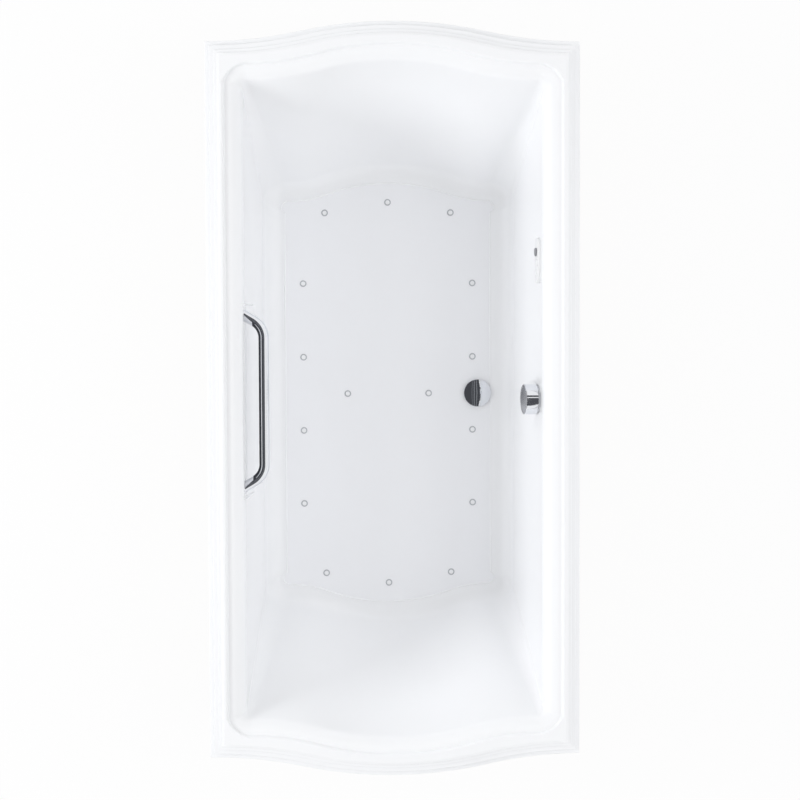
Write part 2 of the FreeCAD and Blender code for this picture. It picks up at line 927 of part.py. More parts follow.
def channel_block(half_width, low, high, gap, branch_end):
    """The channel's route under the jets, as a block: a C and a branch across."""
    side = size("jet_side_across")
    turn = size("channel_turn_along")
    end_x, end_y = size("jet_end_across"), size("jet_end_along")
    tip = size("jet_tip_along")
    route = [
        (side, -turn), (side, turn), (end_x, end_y), (0, tip), (-end_x, end_y),
        (-side, turn), (-side, -turn), (-end_x, -end_y), (0, -tip), (end_x, -end_y),
    ]
    loop = Part.makePolygon([Vector(x, y, low) for x, y in route + route[:1]])
    sharp = 2
    outer = Part.Face(loop.makeOffset2D(half_width, sharp))
    inner = Part.Face(loop.makeOffset2D(-half_width, sharp))
    height = high - low
    ring = outer.cut(inner).extrude(Vector(0, 0, height))
    opening = centred_box(2 * half_width + 4, 2 * gap, height, side, 0, low)
    branch_start = -side
    branch_length = branch_end - branch_start
    branch = centred_box(
        branch_length, 2 * half_width, height, branch_start + branch_length / 2, 0, low
    )
    return ring.cut(opening).fuse(branch).removeSplitter()


def make_air_channel():
    """A moulded trough whose flange is bonded to the floor's underside."""
    half = size("channel_width") / 2
    wall = size("channel_wall")
    flange = size("channel_flange")
    gap = size("channel_end")
    branch = size("branch_end")
    trough = channel_block(half, channel_low, floor_under, gap, branch)
    brim = channel_block(half + flange, floor_under - wall, floor_under, gap - flange, branch + flange)
    room = channel_block(half - wall, channel_low + wall, floor_under, gap + wall, branch - wall)
    hole = Part.makeCylinder(
        size("supply_radius") + size("supply_gap"),
        2 * size("channel_width"),
        Vector(-size("supply_across"), -supply_inner_y - size("channel_width"), supply_z),
        Vector(0, 1, 0),
    )
    return trough.fuse(brim).cut([room, hole])


supply_z = channel_low + size("channel_depth") / 2
supply_inner_y = (
    size("jet_tip_along")
    - size("supply_across") * tip_slope
    + size("channel_width") / 2
    - size("channel_wall")
    - size("supply_entry")
)
shaped("air_channel", make_air_channel())

# -------------------------------------------------------------- supply pipe
blower_y = -size("blower_along")
blower_low = board_top + size("foot_height")
spigot_radius = size("supply_radius") + size("spigot_wall")
spigot_y = blower_y - (size("blower_radius") - spigot_radius)
spigot_z = blower_low + spigot_radius


def make_supply_pipe():
    """From the blower up, over above the water line, and down to the channel."""
    across = size("supply_across")
    socket_end = size("spigot_reach") - size("spigot_socket") + 1
    points = [
        Vector(socket_end, spigot_y, spigot_z),
        Vector(across, spigot_y, spigot_z),
        Vector(across, spigot_y, deck - size("supply_depth")),
        Vector(-across, spigot_y, deck - size("supply_depth")),
        Vector(-across, spigot_y, supply_z),
        Vector(-across, -supply_inner_y, supply_z),
    ]
    radius = size("supply_radius")
    return mitred_rod(points, radius).cut(mitred_rod(points, radius - size("supply_wall")))


shaped("supply_pipe", make_supply_pipe())

# ------------------------------------------------------------------- blower


def make_blower_housing():
    """An open drum with a tangent outlet spigot."""
    radius = size("blower_radius")
    wall = size("blower_wall")
    well = size("blower_well")
    reach = size("spigot_reach")
    socket = size("spigot_socket")
    east = Vector(1, 0, 0)
    side = Vector(0, spigot_y - blower_y, spigot_radius)
    drum = Part.makeCylinder(radius, well).fuse(
        Part.makeCylinder(spigot_radius, reach, side, east)
    )
    room = Part.makeCylinder(radius - wall, well - wall, Vector(0, 0, wall))
    bore = Part.makeCylinder(size("supply_radius") - size("supply_wall"), reach, side, east)
    seat = Part.makeCylinder(
        size("supply_radius") + size("supply_gap"),
        socket,
        side + east * (reach - socket),
        east,
    )
    return drum.cut([room, bore, seat])


shaped("blower_housing", make_blower_housing(), at(0, blower_y, blower_low))
foot = centred_box(size("foot_side"), size("foot_side"), size("foot_height"))
half_pitch = size("foot_pitch") / 2
repeated(
    "blower_feet",
    foot,
    [
        at(sx * half_pitch, blower_y + sy * half_pitch, board_top)
        for sx in (-1, 1)
        for sy in (-1, 1)
    ],
)

deck_z = blower_low + size("blower_well")
motor_z = deck_z + size("deck_thickness") + size("motor_stand")
impeller_z = blower_low + size("blower_wall") + size("impeller_floor_gap")


def make_blower_deck():
    """The drum's lid, with the air inlet and three posts that carry the motor."""
    thickness = size("deck_thickness")
    lid = Part.makeCylinder(size("blower_radius"), thickness)
    lid = lid.cut(Part.makeCylinder(size("inlet_radius"), thickness))
    post = size("post_side")
    out = size("motor_radius") - post / 2
    posts = []
    for turn in (0, 120, 240):
        stand = centred_box(post, post, size("motor_stand"), out, 0, thickness)
        stand.rotate(Vector(0, 0, 0), Vector(0, 0, 1), turn)
        posts.append(stand)
    return lid.fuse(posts)


shaped("blower_deck", make_blower_deck(), at(0, blower_y, deck_z))

motor_bore = "dims.shaft_radius + dims.running_gap"
finish(
    "blower_motor",
    turned(
        "blower_motor",
        [
            (motor_bore, "0"),
            ("dims.motor_radius", "0"),
            ("dims.motor_radius", "dims.motor_height"),
            ("0", "dims.motor_height"),
            ("0", "dims.shaft_in_motor + 1"),
            (motor_bore, "dims.shaft_in_motor + 1"),
        ],
        at(0, blower_y, motor_z),
    ),
)

dome = turned(
    "blower_cover",
    [
        ("dims.dome_radius - dims.blower_wall", "0"),
        ("dims.dome_radius", "0"),
        ("dims.dome_radius", "dims.dome_height - dims.dome_edge"),
        ("dims.dome_radius - dims.dome_edge", "dims.dome_height"),
        ("0", "dims.dome_height"),
        ("0", "dims.dome_height - dims.blower_wall"),
        ("dims.dome_radius - dims.dome_edge - dims.blower_wall / 2",
         "dims.dome_height - dims.blower_wall"),
        ("dims.dome_radius - dims.blower_wall",
         "dims.dome_height - dims.dome_edge - dims.blower_wall / 2"),
    ],
    at(0, blower_y, deck_z + size("deck_thickness")),
)
slot_sketch = outline_in(
    dome,
    "cover_slot",
    "XZ_Plane",
    [
        ("-dims.slot_width / 2", "dims.slot_low"),
        ("dims.slot_width / 2", "dims.slot_low"),
        ("dims.slot_width / 2", "dims.slot_low + dims.slot_height"),
        ("-dims.slot_width / 2", "dims.slot_low + dims.slot_height"),
    ],
)
slot = dome.newObject("PartDesign::Pocket", "cover_slot_pocket")
slot.Profile = slot_sketch
slot.setExpression("Length", "dims.dome_radius + 1")
slot_ring = dome.newObject("PartDesign::PolarPattern", "cover_slots")
slot_ring.Originals = [slot]
slot_ring.Axis = (next(f for f in dome.Origin.OriginFeatures if f.Role == "Z_Axis"), [""])
slot_ring.Angle = 360
slot_ring.setExpression("Occurrences", "dims.dome_slots")
dome.Tip = slot_ring
finish("blower_cover", dome)

impeller = turned(
    "impeller",
    [
        ("dims.shaft_radius", "0"),
        ("dims.impeller_radius", "0"),
        ("dims.impeller_radius", "dims.plate_thickness"),
        ("dims.hub_radius", "dims.plate_thickness"),
        ("dims.hub_radius", "dims.plate_thickness + dims.impeller_vane_height"),
        ("dims.shaft_radius", "dims.plate_thickness + dims.impeller_vane_height"),
    ],
    at(0, blower_y, impeller_z),
)
vane_sketch = outline_in(
    impeller,
    "vane_outline",
    "XY_Plane",
    [
        ("dims.hub_radius - 2", "-dims.vane_thickness / 2"),
        ("dims.impeller_radius - dims.vane_back / 2", "-dims.vane_back - dims.vane_thickness / 2"),
        ("dims.impeller_radius - dims.vane_back / 2", "-dims.vane_back + dims.vane_thickness / 2"),
        ("dims.hub_radius - 2", "dims.vane_thickness / 2"),
    ],
)
vane = impeller.newObject("PartDesign::Pad", "vane")
vane.Profile = vane_sketch
vane.setExpression("Length", "dims.plate_thickness + dims.impeller_vane_height")
vanes = impeller.newObject("PartDesign::PolarPattern", "vanes")
vanes.Originals = [vane]
vanes.Axis = (next(f for f in impeller.Origin.OriginFeatures if f.Role == "Z_Axis"), [""])
vanes.Angle = 360
vanes.setExpression("Occurrences", "dims.vane_count")
impeller.Tip = vanes
finish("impeller", impeller)
finish(
    "impeller_shaft",
    part(
        "Part::Cylinder",
        "impeller_shaft",
        at(0, blower_y, impeller_z),
        Radius="dims.shaft_radius",
        Height=f"{motor_z - impeller_z} + dims.shaft_in_motor",
    ),
)

# -------------------------------------------------------- waste and stopper
waste_x = size("waste_across")
waste_at = at(waste_x, 0, panel_top)
seal_low = panel_top + size("flange_thickness")
cap_z = seal_low + size("seal_height")
stem_low = cap_z - size("stopper_stem_length")
plunger_low = stem_low - size("plunger_length")


def make_waste_flange():
    """The chrome flange, its threaded throat and the spider that guides the stopper."""
    thick = size("flange_thickness")
    length = size("throat_length")
    bore = size("throat_radius") - size("throat_wall")
    ring = Part.makeCylinder(size("flange_radius"), thick)
    ring = ring.makeChamfer(size("flange_edge"), level_edges(ring, thick)[:1])
    ring = ring.fuse(Part.makeCylinder(size("throat_radius"), length, Vector(0, 0, -length)))
    ring = ring.cut(Part.makeCylinder(bore, length + thick, Vector(0, 0, -length)))
    high = size("spider_height")
    guide = Part.makeCylinder(size("guide_radius"), high, Vector(0, 0, -length))
    reach = 2 * bore + size("throat_wall")
    arms = [
        centred_box(reach, size("spider_width"), high, z=-length),
        centred_box(size("spider_width"), reach, high, z=-length),
    ]
    stem_hole = Part.makeCylinder(
        size("stopper_stem_radius") + size("running_gap"), high, Vector(0, 0, -length)
    )
    return ring.fuse([guide] + arms).cut(stem_hole)


shaped("waste_flange", make_waste_flange(), waste_at)

shoe_top = floor_under - size("shoe_gasket")
finish(
    "waste_gasket",
    turned(
        "waste_gasket",
        ring_points("dims.waste_hole_radius", "dims.shoe_flange_radius", "0", "dims.shoe_gasket"),
        at(waste_x, 0, shoe_top),
    ),
)


def make_waste_shoe():
    """The cast elbow under the floor, with a plunger guide and an arm to the tee."""
    east = Vector(1, 0, 0)
    bottom = size("shoe_bottom")
    wall = size("shoe_wall")
    thick = size("shoe_flange_thickness")
    arm_z = size("arm_height")
    arm_end = size("tee_across") - size("tee_radius")
    arm = size("drain_pipe_radius")
    height = shoe_top - bottom
    cup = Part.makeCylinder(size("shoe_radius"), height, Vector(waste_x, 0, bottom))
    collar = Vector(waste_x, 0, shoe_top - thick)
    cup = cup.fuse(
        [
            Part.makeCylinder(size("shoe_flange_radius"), thick, collar),
            Part.makeCylinder(arm, arm_end - waste_x, Vector(waste_x, 0, arm_z), east),
        ]
    )
    room = Part.makeCylinder(
        size("shoe_radius") - wall, height - wall, Vector(waste_x, 0, bottom + wall)
    )
    bore = Part.makeCylinder(
        arm - size("drain_pipe_wall"), arm_end - waste_x, Vector(waste_x, 0, arm_z), east
    )
    guide_low = Vector(waste_x, 0, bottom + wall)
    guide_top = plunger_low + size("stopper_travel") + size("plunger_hold")
    guide = Part.makeCylinder(size("guide_radius"), guide_top - guide_low.z, guide_low)
    plunger_hole = Part.makeCylinder(
        size("stopper_stem_radius") + size("running_gap"), guide_top - guide_low.z, guide_low
    )
    return cup.cut([room, bore, cable_hole()]).fuse(guide).cut(plunger_hole)


def cable_points():
    """The control cable's route, from the overflow's housing to the waste shoe."""
    out = size("cable_out")
    side = size("cable_side")
    inside = size("shoe_radius") - size("shoe_wall") - size("cable_end_gap")
    turn = Vector(
        waste_x + size("cable_entry_x"), size("cable_entry_y"), size("arm_height")
    )
    facing = Vector(waste_x - turn.x, -turn.y, 0).normalize()
    return [
        Vector(out, side, overflow_z - size("cable_drop")),
        Vector(out, side, size("cable_low")),
        Vector(size("cable_turn_x"), size("cable_turn_y"), size("arm_height")),
        turn,
        Vector(waste_x, 0, size("arm_height")) - facing * inside,
    ]


def largest_bends(points):
    """The largest arcs that the straight runs leave room for."""
    radii = []
    for before, corner, after in zip(points, points[1:], points[2:]):
        come, leave = corner - before, after - corner
        run = min(come.Length, leave.Length)
        radii.append(0.45 * run / math.tan(come.getAngle(leave) / 2))
    return radii


def cable_hole():
    """The hole where the cable enters the shoe."""
    last, end = cable_points()[-2:]
    facing = (end - last).normalize()
    depth = 2 * size("shoe_wall") + size("cable_end_gap")
    start = end - facing * depth
    return Part.makeCylinder(size("cable_radius") + size("cable_gap"), depth, start, facing)


shaped("waste_shoe", make_waste_shoe())
cable_bends = largest_bends(cable_points())
print("cable bend radii", [round(radius, 1) for radius in cable_bends])
shaped("control_cable", bent_rod(cable_points(), cable_bends, size("cable_radius")))


def dome_points(rings):
    """The cap's crown as rings on a shallow dome, from its edge to near its middle."""
    points = []
    for k in range(int(rings), 0, -1):
        share = k / rings
        height = f"dims.stopper_edge + dims.stopper_rise * {1 - share ** 2}"
        points.append((f"dims.stopper_radius * {share}", height))
    return points


stem = "dims.stopper_stem_radius"
stopper_outline = [
    ("0", "-dims.stopper_stem_length"),
    (stem, "-dims.stopper_stem_length"),
    (stem, "0"),
    ("dims.stopper_radius", "0"),
]
stopper_outline += dome_points(size("dome_rings")) + [("0", "dims.stopper_edge + dims.stopper_rise")]
finish("stopper_cap", turned("stopper_cap", stopper_outline, at(waste_x, 0, cap_z)))
finish(
    "stopper_seal",
    turned(
        "stopper_seal",
        ring_points("dims.throat_radius", "dims.seal_radius", "0", "dims.seal_height"),
        at(waste_x, 0, seal_low),
    ),
)
finish(
    "lift_plunger",
    part(
        "Part::Cylinder",
        "lift_plunger",
        at(waste_x, 0, plunger_low),
        Radius="dims.stopper_stem_radius",
        Height="dims.plunger_length",
    ),
)


def make_overflow_pipe():
    """The pipe down from the overflow."""
    x = size("tee_across")
    radius = size("drain_pipe_radius")
    low = size("arm_height") + size("tee_reach") / 2
    high = overflow_z - size("housing_pipe_drop")
    pipe = Part.makeCylinder(radius, high - low, Vector(x, 0, low))
    bore = radius - size("drain_pipe_wall")
    return pipe.cut(Part.makeCylinder(bore, high - low, Vector(x, 0, low)))


def make_drain_tee():
    """The tee where the overflow joins the waste, with its tail to the trap."""
    x = size("tee_across")
    z = size("arm_height")
    reach = size("tee_reach")
    fit = size("drain_pipe_radius") + size("supply_gap")
    bore = size("drain_pipe_radius") - size("drain_pipe_wall")
    west = Vector(-1, 0, 0)
    tail = size("tail_clear")
    middle = reach / 2
    tee = Part.makeCylinder(size("tee_radius"), 2 * reach, Vector(x, 0, z - reach))
    tee = tee.fuse(
        [
            Part.makeCylinder(size("tee_radius"), 1.5 * reach, Vector(x, 0, z), west),
            Part.makeCylinder(size("drain_pipe_radius"), z - tail, Vector(x, 0, tail)),
        ]
    )
    entry = size("tee_radius")
    return tee.cut(
        [
            Part.makeCylinder(bore, z - tail + reach, Vector(x, 0, tail)),
            Part.makeCylinder(fit, reach, Vector(x, 0, z + middle)),
            Part.makeCylinder(bore, reach, Vector(x, 0, z), west),
            Part.makeCylinder(fit, reach, Vector(x - entry, 0, z), west),
        ]
    )


shaped("overflow_pipe", make_overflow_pipe())
shaped("drain_tee", make_drain_tee())

# ----------------------------------------------------------------- overflow
skin = -size("shell_wall")
housing_face = skin - size("overflow_gasket")
overflow_at = wall_place(0, overflow_z)


def make_overflow_housing():
    """The cup behind the wall, with the pipe and the cable coming in from below."""
    depth = size("housing_depth")
    wall = size("housing_wall")
    cup = Part.makeCylinder(size("housing_radius"), depth, Vector(0, 0, housing_face - depth))
    room = Part.makeCylinder(
        size("housing_radius") - wall, depth - wall, Vector(0, 0, housing_face - depth + wall)
    )
    cup = cup.cut(room)
    cup.Placement = overflow_at
    low = overflow_z - 2 * size("housing_radius")
    pipe_hole = Part.makeCylinder(
        size("drain_pipe_radius") + size("supply_gap"),
        overflow_z - low,
        Vector(size("tee_across"), 0, low),
    )
    cable = Part.makeCylinder(
        size("cable_radius") + size("cable_gap"),
        overflow_z - low,
        Vector(size("cable_out"), size("cable_side"), low),
    )
    return cup.cut([pipe_hole, cable])


shaped("overflow_housing", make_overflow_housing())
finish(
    "overflow_gasket",
    turned(
        "overflow_gasket",
        ring_points("dims.overflow_hole_radius", "dims.housing_radius", "0", "dims.overflow_gasket"),
        wall_place(0, overflow_z, housing_face),
    ),
)


def make_overflow_retainer():
    """The plate that the knob turns on, with two windows for the water."""
    thick = size("retainer_thickness")
    plate = Part.makeCylinder(size("retainer_radius"), thick)
    high = size("retainer_window_height")
    out = size("retainer_window_out")
    windows = [
        centred_box(high, size("retainer_window_width"), thick, 0, side * out)
        for side in (-1, 1)
    ]
    bore = Part.makeCylinder(size("knob_shaft_radius") + size("running_gap"), thick)
    return plate.cut(windows + [bore])


shaped("overflow_retainer", make_overflow_retainer(), overflow_at)
shaft = "dims.knob_shaft_radius"
finish(
    "overflow_knob",
    turned(
        "overflow_knob",
        [
            ("0", "-dims.knob_shaft_in"),
            (shaft, "-dims.knob_shaft_in"),
            (shaft, "dims.knob_face - dims.knob_wall"),
            ("dims.knob_radius - dims.knob_rim", "dims.knob_face - dims.knob_wall"),
            ("dims.knob_radius - dims.knob_rim", "dims.knob_back"),
            ("dims.knob_radius", "dims.knob_back"),
            ("dims.knob_radius", "dims.knob_face - dims.knob_edge"),
            ("dims.knob_radius - dims.knob_edge", "dims.knob_face"),
            ("0", "dims.knob_face"),
        ],
        overflow_at,
    ),
)


def make_knob_crank():
    """The arm on the knob's shaft that pulls the cable."""
    length = size("crank_length")
    thick = size("crank_thickness")
    arm = centred_box(length, size("crank_width"), thick, length / 2 - size("crank_width") / 2)
    return arm.cut(Part.makeCylinder(size("knob_shaft_radius"), thick))


shaped("knob_crank", make_knob_crank(), wall_place(0, overflow_z, -size("knob_shaft_in")))

# ------------------------------------------------------------------- keypad
keypad_at = wall_place(size("keypad_along"), keypad_z)
keys = {
    "key_power": (size("power_key_shift"), "power_key"),
    "key_up": (-size("small_key_shift"), "small_key"),
    "key_down": (-size("small_key_shift") - size("small_key_pitch"), "small_key"),
}


def make_keypad():
    """The plate on the wall and its neck through it, with a well for each key."""
    thick = size("keypad_thickness")
    plate = stadium(size("keypad_length"), size("keypad_height"), 0, thick)
    plate = plate.makeChamfer(size("keypad_edge"), level_edges(plate, thick))
    neck = stadium(size("keypad_neck_length"), size("keypad_neck_height"), skin, 0)
    well = size("key_well")
    wells = []
    for shift, kind in keys.values():
        radius = size(kind + "_radius") + size("key_gap")
        wells.append(Part.makeCylinder(radius, well, Vector(0, shift, thick - well)))
    return plate.fuse(neck).removeSplitter().cut(wells)


shaped("keypad_housing", make_keypad(), keypad_at)
back_depth = size("keypad_back_depth")
keypad_back = stadium(
    size("keypad_back_length"), size("keypad_back_height"), skin - back_depth, skin
)
shaped("keypad_back", keypad_back, keypad_at)
well_floor = size("keypad_thickness") - size("key_well")
key_lift = size("key_travel") + size("key_rest_gap")
for label, (shift, kind) in keys.items():
    place = keypad_at.multiply(at(0, shift, well_floor + key_lift))
    height = f"dims.key_well - dims.key_travel - dims.key_rest_gap + dims.{kind}_proud"
    finish(label, part("Part::Cylinder", label, place, Radius=f"dims.{kind}_radius", Height=height))

# -------------------------------------------------------------- control box


def make_control_box():
    """An open box with two glands in its side."""
    length, width, height = size("box_length"), size("box_width"), size("box_height")
    wall = size("box_wall")
    box = centred_box(width, length, height)
    upright = [e for e in box.Edges if abs(e.tangentAt(e.FirstParameter).z) > 0.9]
    box = box.makeFillet(size("box_round"), upright)
    box = box.cut(centred_box(width - 2 * wall, length - 2 * wall, height - wall, z=wall))
    glands = []
    for side in (-1, 1):
        start = Vector(side * size("gland_pitch") / 2, -length / 2, size("gland_height"))
        glands.append(
            Part.makeCylinder(size("gland_radius"), size("gland_length"), start, Vector(0, -1, 0))
        )
    return box.fuse(glands)


box_at = at(0, size("box_along"), board_top)
shaped("control_box", make_control_box(), box_at)
lid = centred_box(size("box_width"), size("box_length"), size("lid_thickness"))
upright = [e for e in lid.Edges if abs(e.tangentAt(e.FirstParameter).z) > 0.9]
lid = lid.makeFillet(size("box_round"), upright)
shaped("control_box_lid", lid, at(0, size("box_along"), board_top + size("box_height")))

# ------------------------------------------------------------ check and write
doc.recompute()
for obj in doc.Objects:
    if {"Invalid", "Error"} & set(obj.State):
        raise RuntimeError(f"{obj.Label} failed: {obj.State}")
for label, obj in pieces.items():
    shape = obj.Shape
    if shape.isNull() or not shape.isValid() or not shape.Solids:
        raise RuntimeError(f"{label} has no valid solid")

os.makedirs("parts", exist_ok=True)
for label, obj in pieces.items():
    obj.Shape.exportStep(f"parts/{label}.step")
print(f"{len(pieces)} pieces written")
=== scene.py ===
import json
import math

import bmesh
import bpy
from bmesh.types import BMEdge, BMFace, BMVert
from bpy.props import FloatProperty, FloatVectorProperty, PointerProperty
from mathutils import Matrix, Vector


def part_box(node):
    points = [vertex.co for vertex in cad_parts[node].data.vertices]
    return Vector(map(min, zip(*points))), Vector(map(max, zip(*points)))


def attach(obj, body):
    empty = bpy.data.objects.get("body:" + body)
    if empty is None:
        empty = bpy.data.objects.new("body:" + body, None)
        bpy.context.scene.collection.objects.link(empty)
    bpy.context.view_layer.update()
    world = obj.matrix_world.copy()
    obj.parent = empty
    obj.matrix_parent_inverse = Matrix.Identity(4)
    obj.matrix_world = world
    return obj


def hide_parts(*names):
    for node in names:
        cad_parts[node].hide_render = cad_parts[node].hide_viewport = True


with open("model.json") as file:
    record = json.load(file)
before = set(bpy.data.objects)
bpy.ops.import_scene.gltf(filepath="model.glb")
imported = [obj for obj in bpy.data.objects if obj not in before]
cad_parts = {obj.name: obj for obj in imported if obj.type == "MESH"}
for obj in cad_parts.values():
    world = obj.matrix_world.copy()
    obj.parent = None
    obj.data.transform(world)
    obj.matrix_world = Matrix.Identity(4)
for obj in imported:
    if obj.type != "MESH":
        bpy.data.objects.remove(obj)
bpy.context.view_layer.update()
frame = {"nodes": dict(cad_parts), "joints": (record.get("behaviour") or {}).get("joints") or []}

bl_info = {
    "name": "Air bath",
    "version": (1, 0, 0),
    "blender": (4, 5, 0),
    "location": "3D Viewport > Sidebar > Air bath",
    "description": "Builds the finished surfaces of a drop-in air bath round its packed frame",
    "category": "Object",
}

MM = 0.001
TUB_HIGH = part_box("tub_shell")[1]
UP = Vector((0, 0, 1))

# How finely the curves are divided: the tub's, then the fittings'.
SIDE_STEPS = 5
CORNER_STEPS = 12
BACK_STEPS = 10
CROWN_STEPS = 10
ROLL_STEPS = 12
COVE_STEPS = 12
ROUND_STEPS = 4
DOME_STEPS = 16
BEND_STEPS = 16
JET_HOLE_STEPS = 16
STUD_STEPS = 24
HOLE_STEPS = 32
FINE_STEPS = 48
TURN_STEPS = 72
KNOB_STEPS = 96


def linear(code):
    """An sRGB hex colour as linear red, green and blue."""
    parts = [int(code[k:k + 2], 16) / 255 for k in (0, 2, 4)]
    return tuple(c / 12.92 if c <= 0.04045 else ((c + 0.055) / 1.055) ** 2.4 for c in parts)


def length(name, size, description):
    """A size that a user would change, given in millimetres and kept in metres."""
    return FloatProperty(
        name=name, description=description, default=size * MM, unit="LENGTH", precision=4
    )


def tint(name, code, description):
    """A colour that a user would change."""
    return FloatVectorProperty(
        name=name, description=description, default=linear(code), subtype="COLOR", min=0, max=1
    )


class BathSizes(bpy.types.PropertyGroup):
    """Sizes of the moulded tub and its fittings."""

    rim_bow: length("Rim bow", 49, "How far the rim's ends bow out past its corners")
    basin_width: length("Basin width", 804, "Width between the tops of the rolled edges")
    basin_length: length("Basin length", 1610, "Length between the rolled edges at the corners")
    basin_bow: length("Basin bow", 48, "How far the basin's ends bow out")
    basin_depth: length("Basin depth", 424, "Depth from the deck to the floor")
    floor_width: length("Floor width", 560, "Width of the flat floor")
    floor_length: length("Floor length", 1044, "Length of the flat floor at its corners")
    ledge_drop: length("Ledge drop", 7, "Step down from the deck to the basin's edge")
    ledge_margin: length("Ledge margin", 3, "Flat strip between that step and the roll")
    roll: length("Roll", 40, "Radius of the rolled top edge")
    cove: length("Cove", 55, "Radius where the walls meet the floor")
    top_corner: length("Top corner", 14, "Corner radius of the walls at the top")
    floor_corner: length("Floor corner", 66, "Corner radius of the walls at the floor")
    skin: length("Skin", 8, "Thickness of the acrylic and its backing")
    bar_radius: length("Bar radius", 12.7, "Radius of the grab bar's tube")
    bar_bend: length("Bar bend", 48, "Radius of the grab bar's bends")
    jet_radius: length("Jet radius", 9, "Radius of an air jet's head")
    stopper_radius: length("Stopper radius", 37, "Radius of the waste stopper's cap")
    knob_radius: length("Knob radius", 37.5, "Radius of the overflow knob")


class BathColours(bpy.types.PropertyGroup):
    """Colours of the finishes."""

    acrylic: tint("Acrylic", "F8F9FB", "Cast acrylic sheet")
    # The floor's colour is a touch darker than the acrylic's, which is painted shade of the deep
    # basin floor.
    floor: tint("Floor", "F5F6F9", "Acrylic floor with its fine texture")
    backing: tint("Backing", "D9D2C0", "Glass-fibre backing under the tub")
    chrome: tint("Chrome", "E6E8EC", "Plated brass")
    jet_ring: tint("Jet ring", "B9BBC0", "Soft grey ring of an air jet")
    keypad: tint("Keypad", "F0F1F3", "Moulded keypad plate")
    dark_key: tint("Dark key", "85878C", "Power key")


# ---- materials
ACRYLIC_IOR = 1.49
MIXED_COLOUR = 2  # the mix node's output for colours


def add(tree, kind, links=None, **settings):
    """Adds a node. links gives each named input a value or another node's socket."""
    made = tree.nodes.new(kind)
    for name, value in settings.items():
        setattr(made, name, value)
    for name, value in (links or {}).items():
        if isinstance(value, bpy.types.NodeSocket):
            tree.links.new(value, made.inputs[name])
        else:
            made.inputs[name].default_value = value
    return made


def cells(size):
    """A noise scale whose features are about this many millimetres wide."""
    return 1 / (size * MM)


def rgba(colour, shade=1.0):
    """A colour with alpha, made lighter or darker."""
    return tuple(min(1.0, c * shade) for c in colour) + (1.0,)


def start(name):
    """A new material with its shader and its object coordinates."""
    finish = bpy.data.materials.new(name)
    finish.use_nodes = True
    tree = finish.node_tree
    shader = tree.nodes["Principled BSDF"]
    place = add(tree, "ShaderNodeTexCoord").outputs["Object"]
    return tree, shader, place


def mottle(tree, shader, place, colour, size, spread, rough, rough_spread):
    """Slow change of colour and gloss over millimetres, as any real finish has."""
    cloud = add(
        tree, "ShaderNodeTexNoise", {"Vector": place, "Scale": cells(size), "Detail": 4.0}
    ).outputs["Fac"]
    mix = add(
        tree,
        "ShaderNodeMix",
        {"Factor": cloud, "A": rgba(colour, 1 - spread), "B": rgba(colour, 1 + spread)},
        data_type="RGBA",
    )
    tree.links.new(mix.outputs[MIXED_COLOUR], shader.inputs["Base Color"])
    gloss = add(
        tree,
        "ShaderNodeMapRange",
        {"Value": cloud, "To Min": rough - rough_spread, "To Max": rough + rough_spread},
    )
    tree.links.new(gloss.outputs["Result"], shader.inputs["Roughness"])


def grain(tree, shader, place, size, height, strength=1.0, kind="ShaderNodeTexNoise", **more):
    """Relief of a size and height in millimetres, with more settings for its pattern."""
    relief = add(tree, kind, {"Vector": place, "Scale": cells(size), **more})
    bump = add(
        tree,
        "ShaderNodeBump",
        {"Height": relief.outputs[0], "Distance": height * MM, "Strength": strength},
    )
    tree.links.new(bump.outputs["Normal"], shader.inputs["Normal"])


def cast_acrylic(colours):
    """Cast acrylic, vacuum formed: a clear gloss over a clean white, faintly uneven."""
    tree, shader, place = start("cast_acrylic")
    mottle(tree, shader, place, colours.acrylic, 160, 0.006, 0.17, 0.03)
    shader.inputs["IOR"].default_value = ACRYLIC_IOR
    grain(tree, shader, place, 90, 0.08, 0.5)


def floor_acrylic(colours):
    """The same sheet with a pressed, slip-resistant texture: fine and matte, and a touch darker in
    colour as painted shade of the deep basin floor.
    """
    tree, shader, place = start("floor_acrylic")
    mottle(tree, shader, place, colours.floor, 120, 0.008, 0.5, 0.04)
    shader.inputs["IOR"].default_value = ACRYLIC_IOR
    grain(tree, shader, place, 3.5, 0.18, 0.6, "ShaderNodeTexVoronoi")


def glass_fibre(colours):
    """Sprayed polyester and chopped glass strand: rough, resin-rich and matted."""
    tree, shader, place = start("glass_fibre")
    mottle(tree, shader, place, colours.backing, 60, 0.08, 0.55, 0.12)
    grain(tree, shader, place, 14, 1.6, 0.8, Detail=8.0, Distortion=3.0)


def plated(name, colour, rough, wear):
    """Bright plating on brass or steel: a mirror with faint wiping marks."""
    tree, shader, place = start(name)
    shader.inputs["Metallic"].default_value = 1.0
    mottle(tree, shader, place, colour, 40, 0.01, rough, wear)
    grain(tree, shader, place, 25, 0.01, 0.15)


def moulded(name, colour, rough=0.38, size=1.6, height=0.05, spread=0.02):
    """Injection-moulded plastic or rubber: even colour, a fine spark-eroded grain."""
    tree, shader, place = start(name)
    mottle(tree, shader, place, colour, 35, spread, rough, 0.05)
    grain(tree, shader, place, size, height)


def brushed(name, colour, rough):
    """Drawn or turned metal: dull, with fine lines round or along it."""
    tree, shader, place = start(name)
    shader.inputs["Metallic"].default_value = 1.0
    mottle(tree, shader, place, colour, 20, 0.04, rough, 0.06)
    drawn = add(tree, "ShaderNodeMapping", {"Vector": place, "Scale": (1.0, 1.0, 24.0)})
    grain(tree, shader, drawn.outputs["Vector"], 12, 0.02)


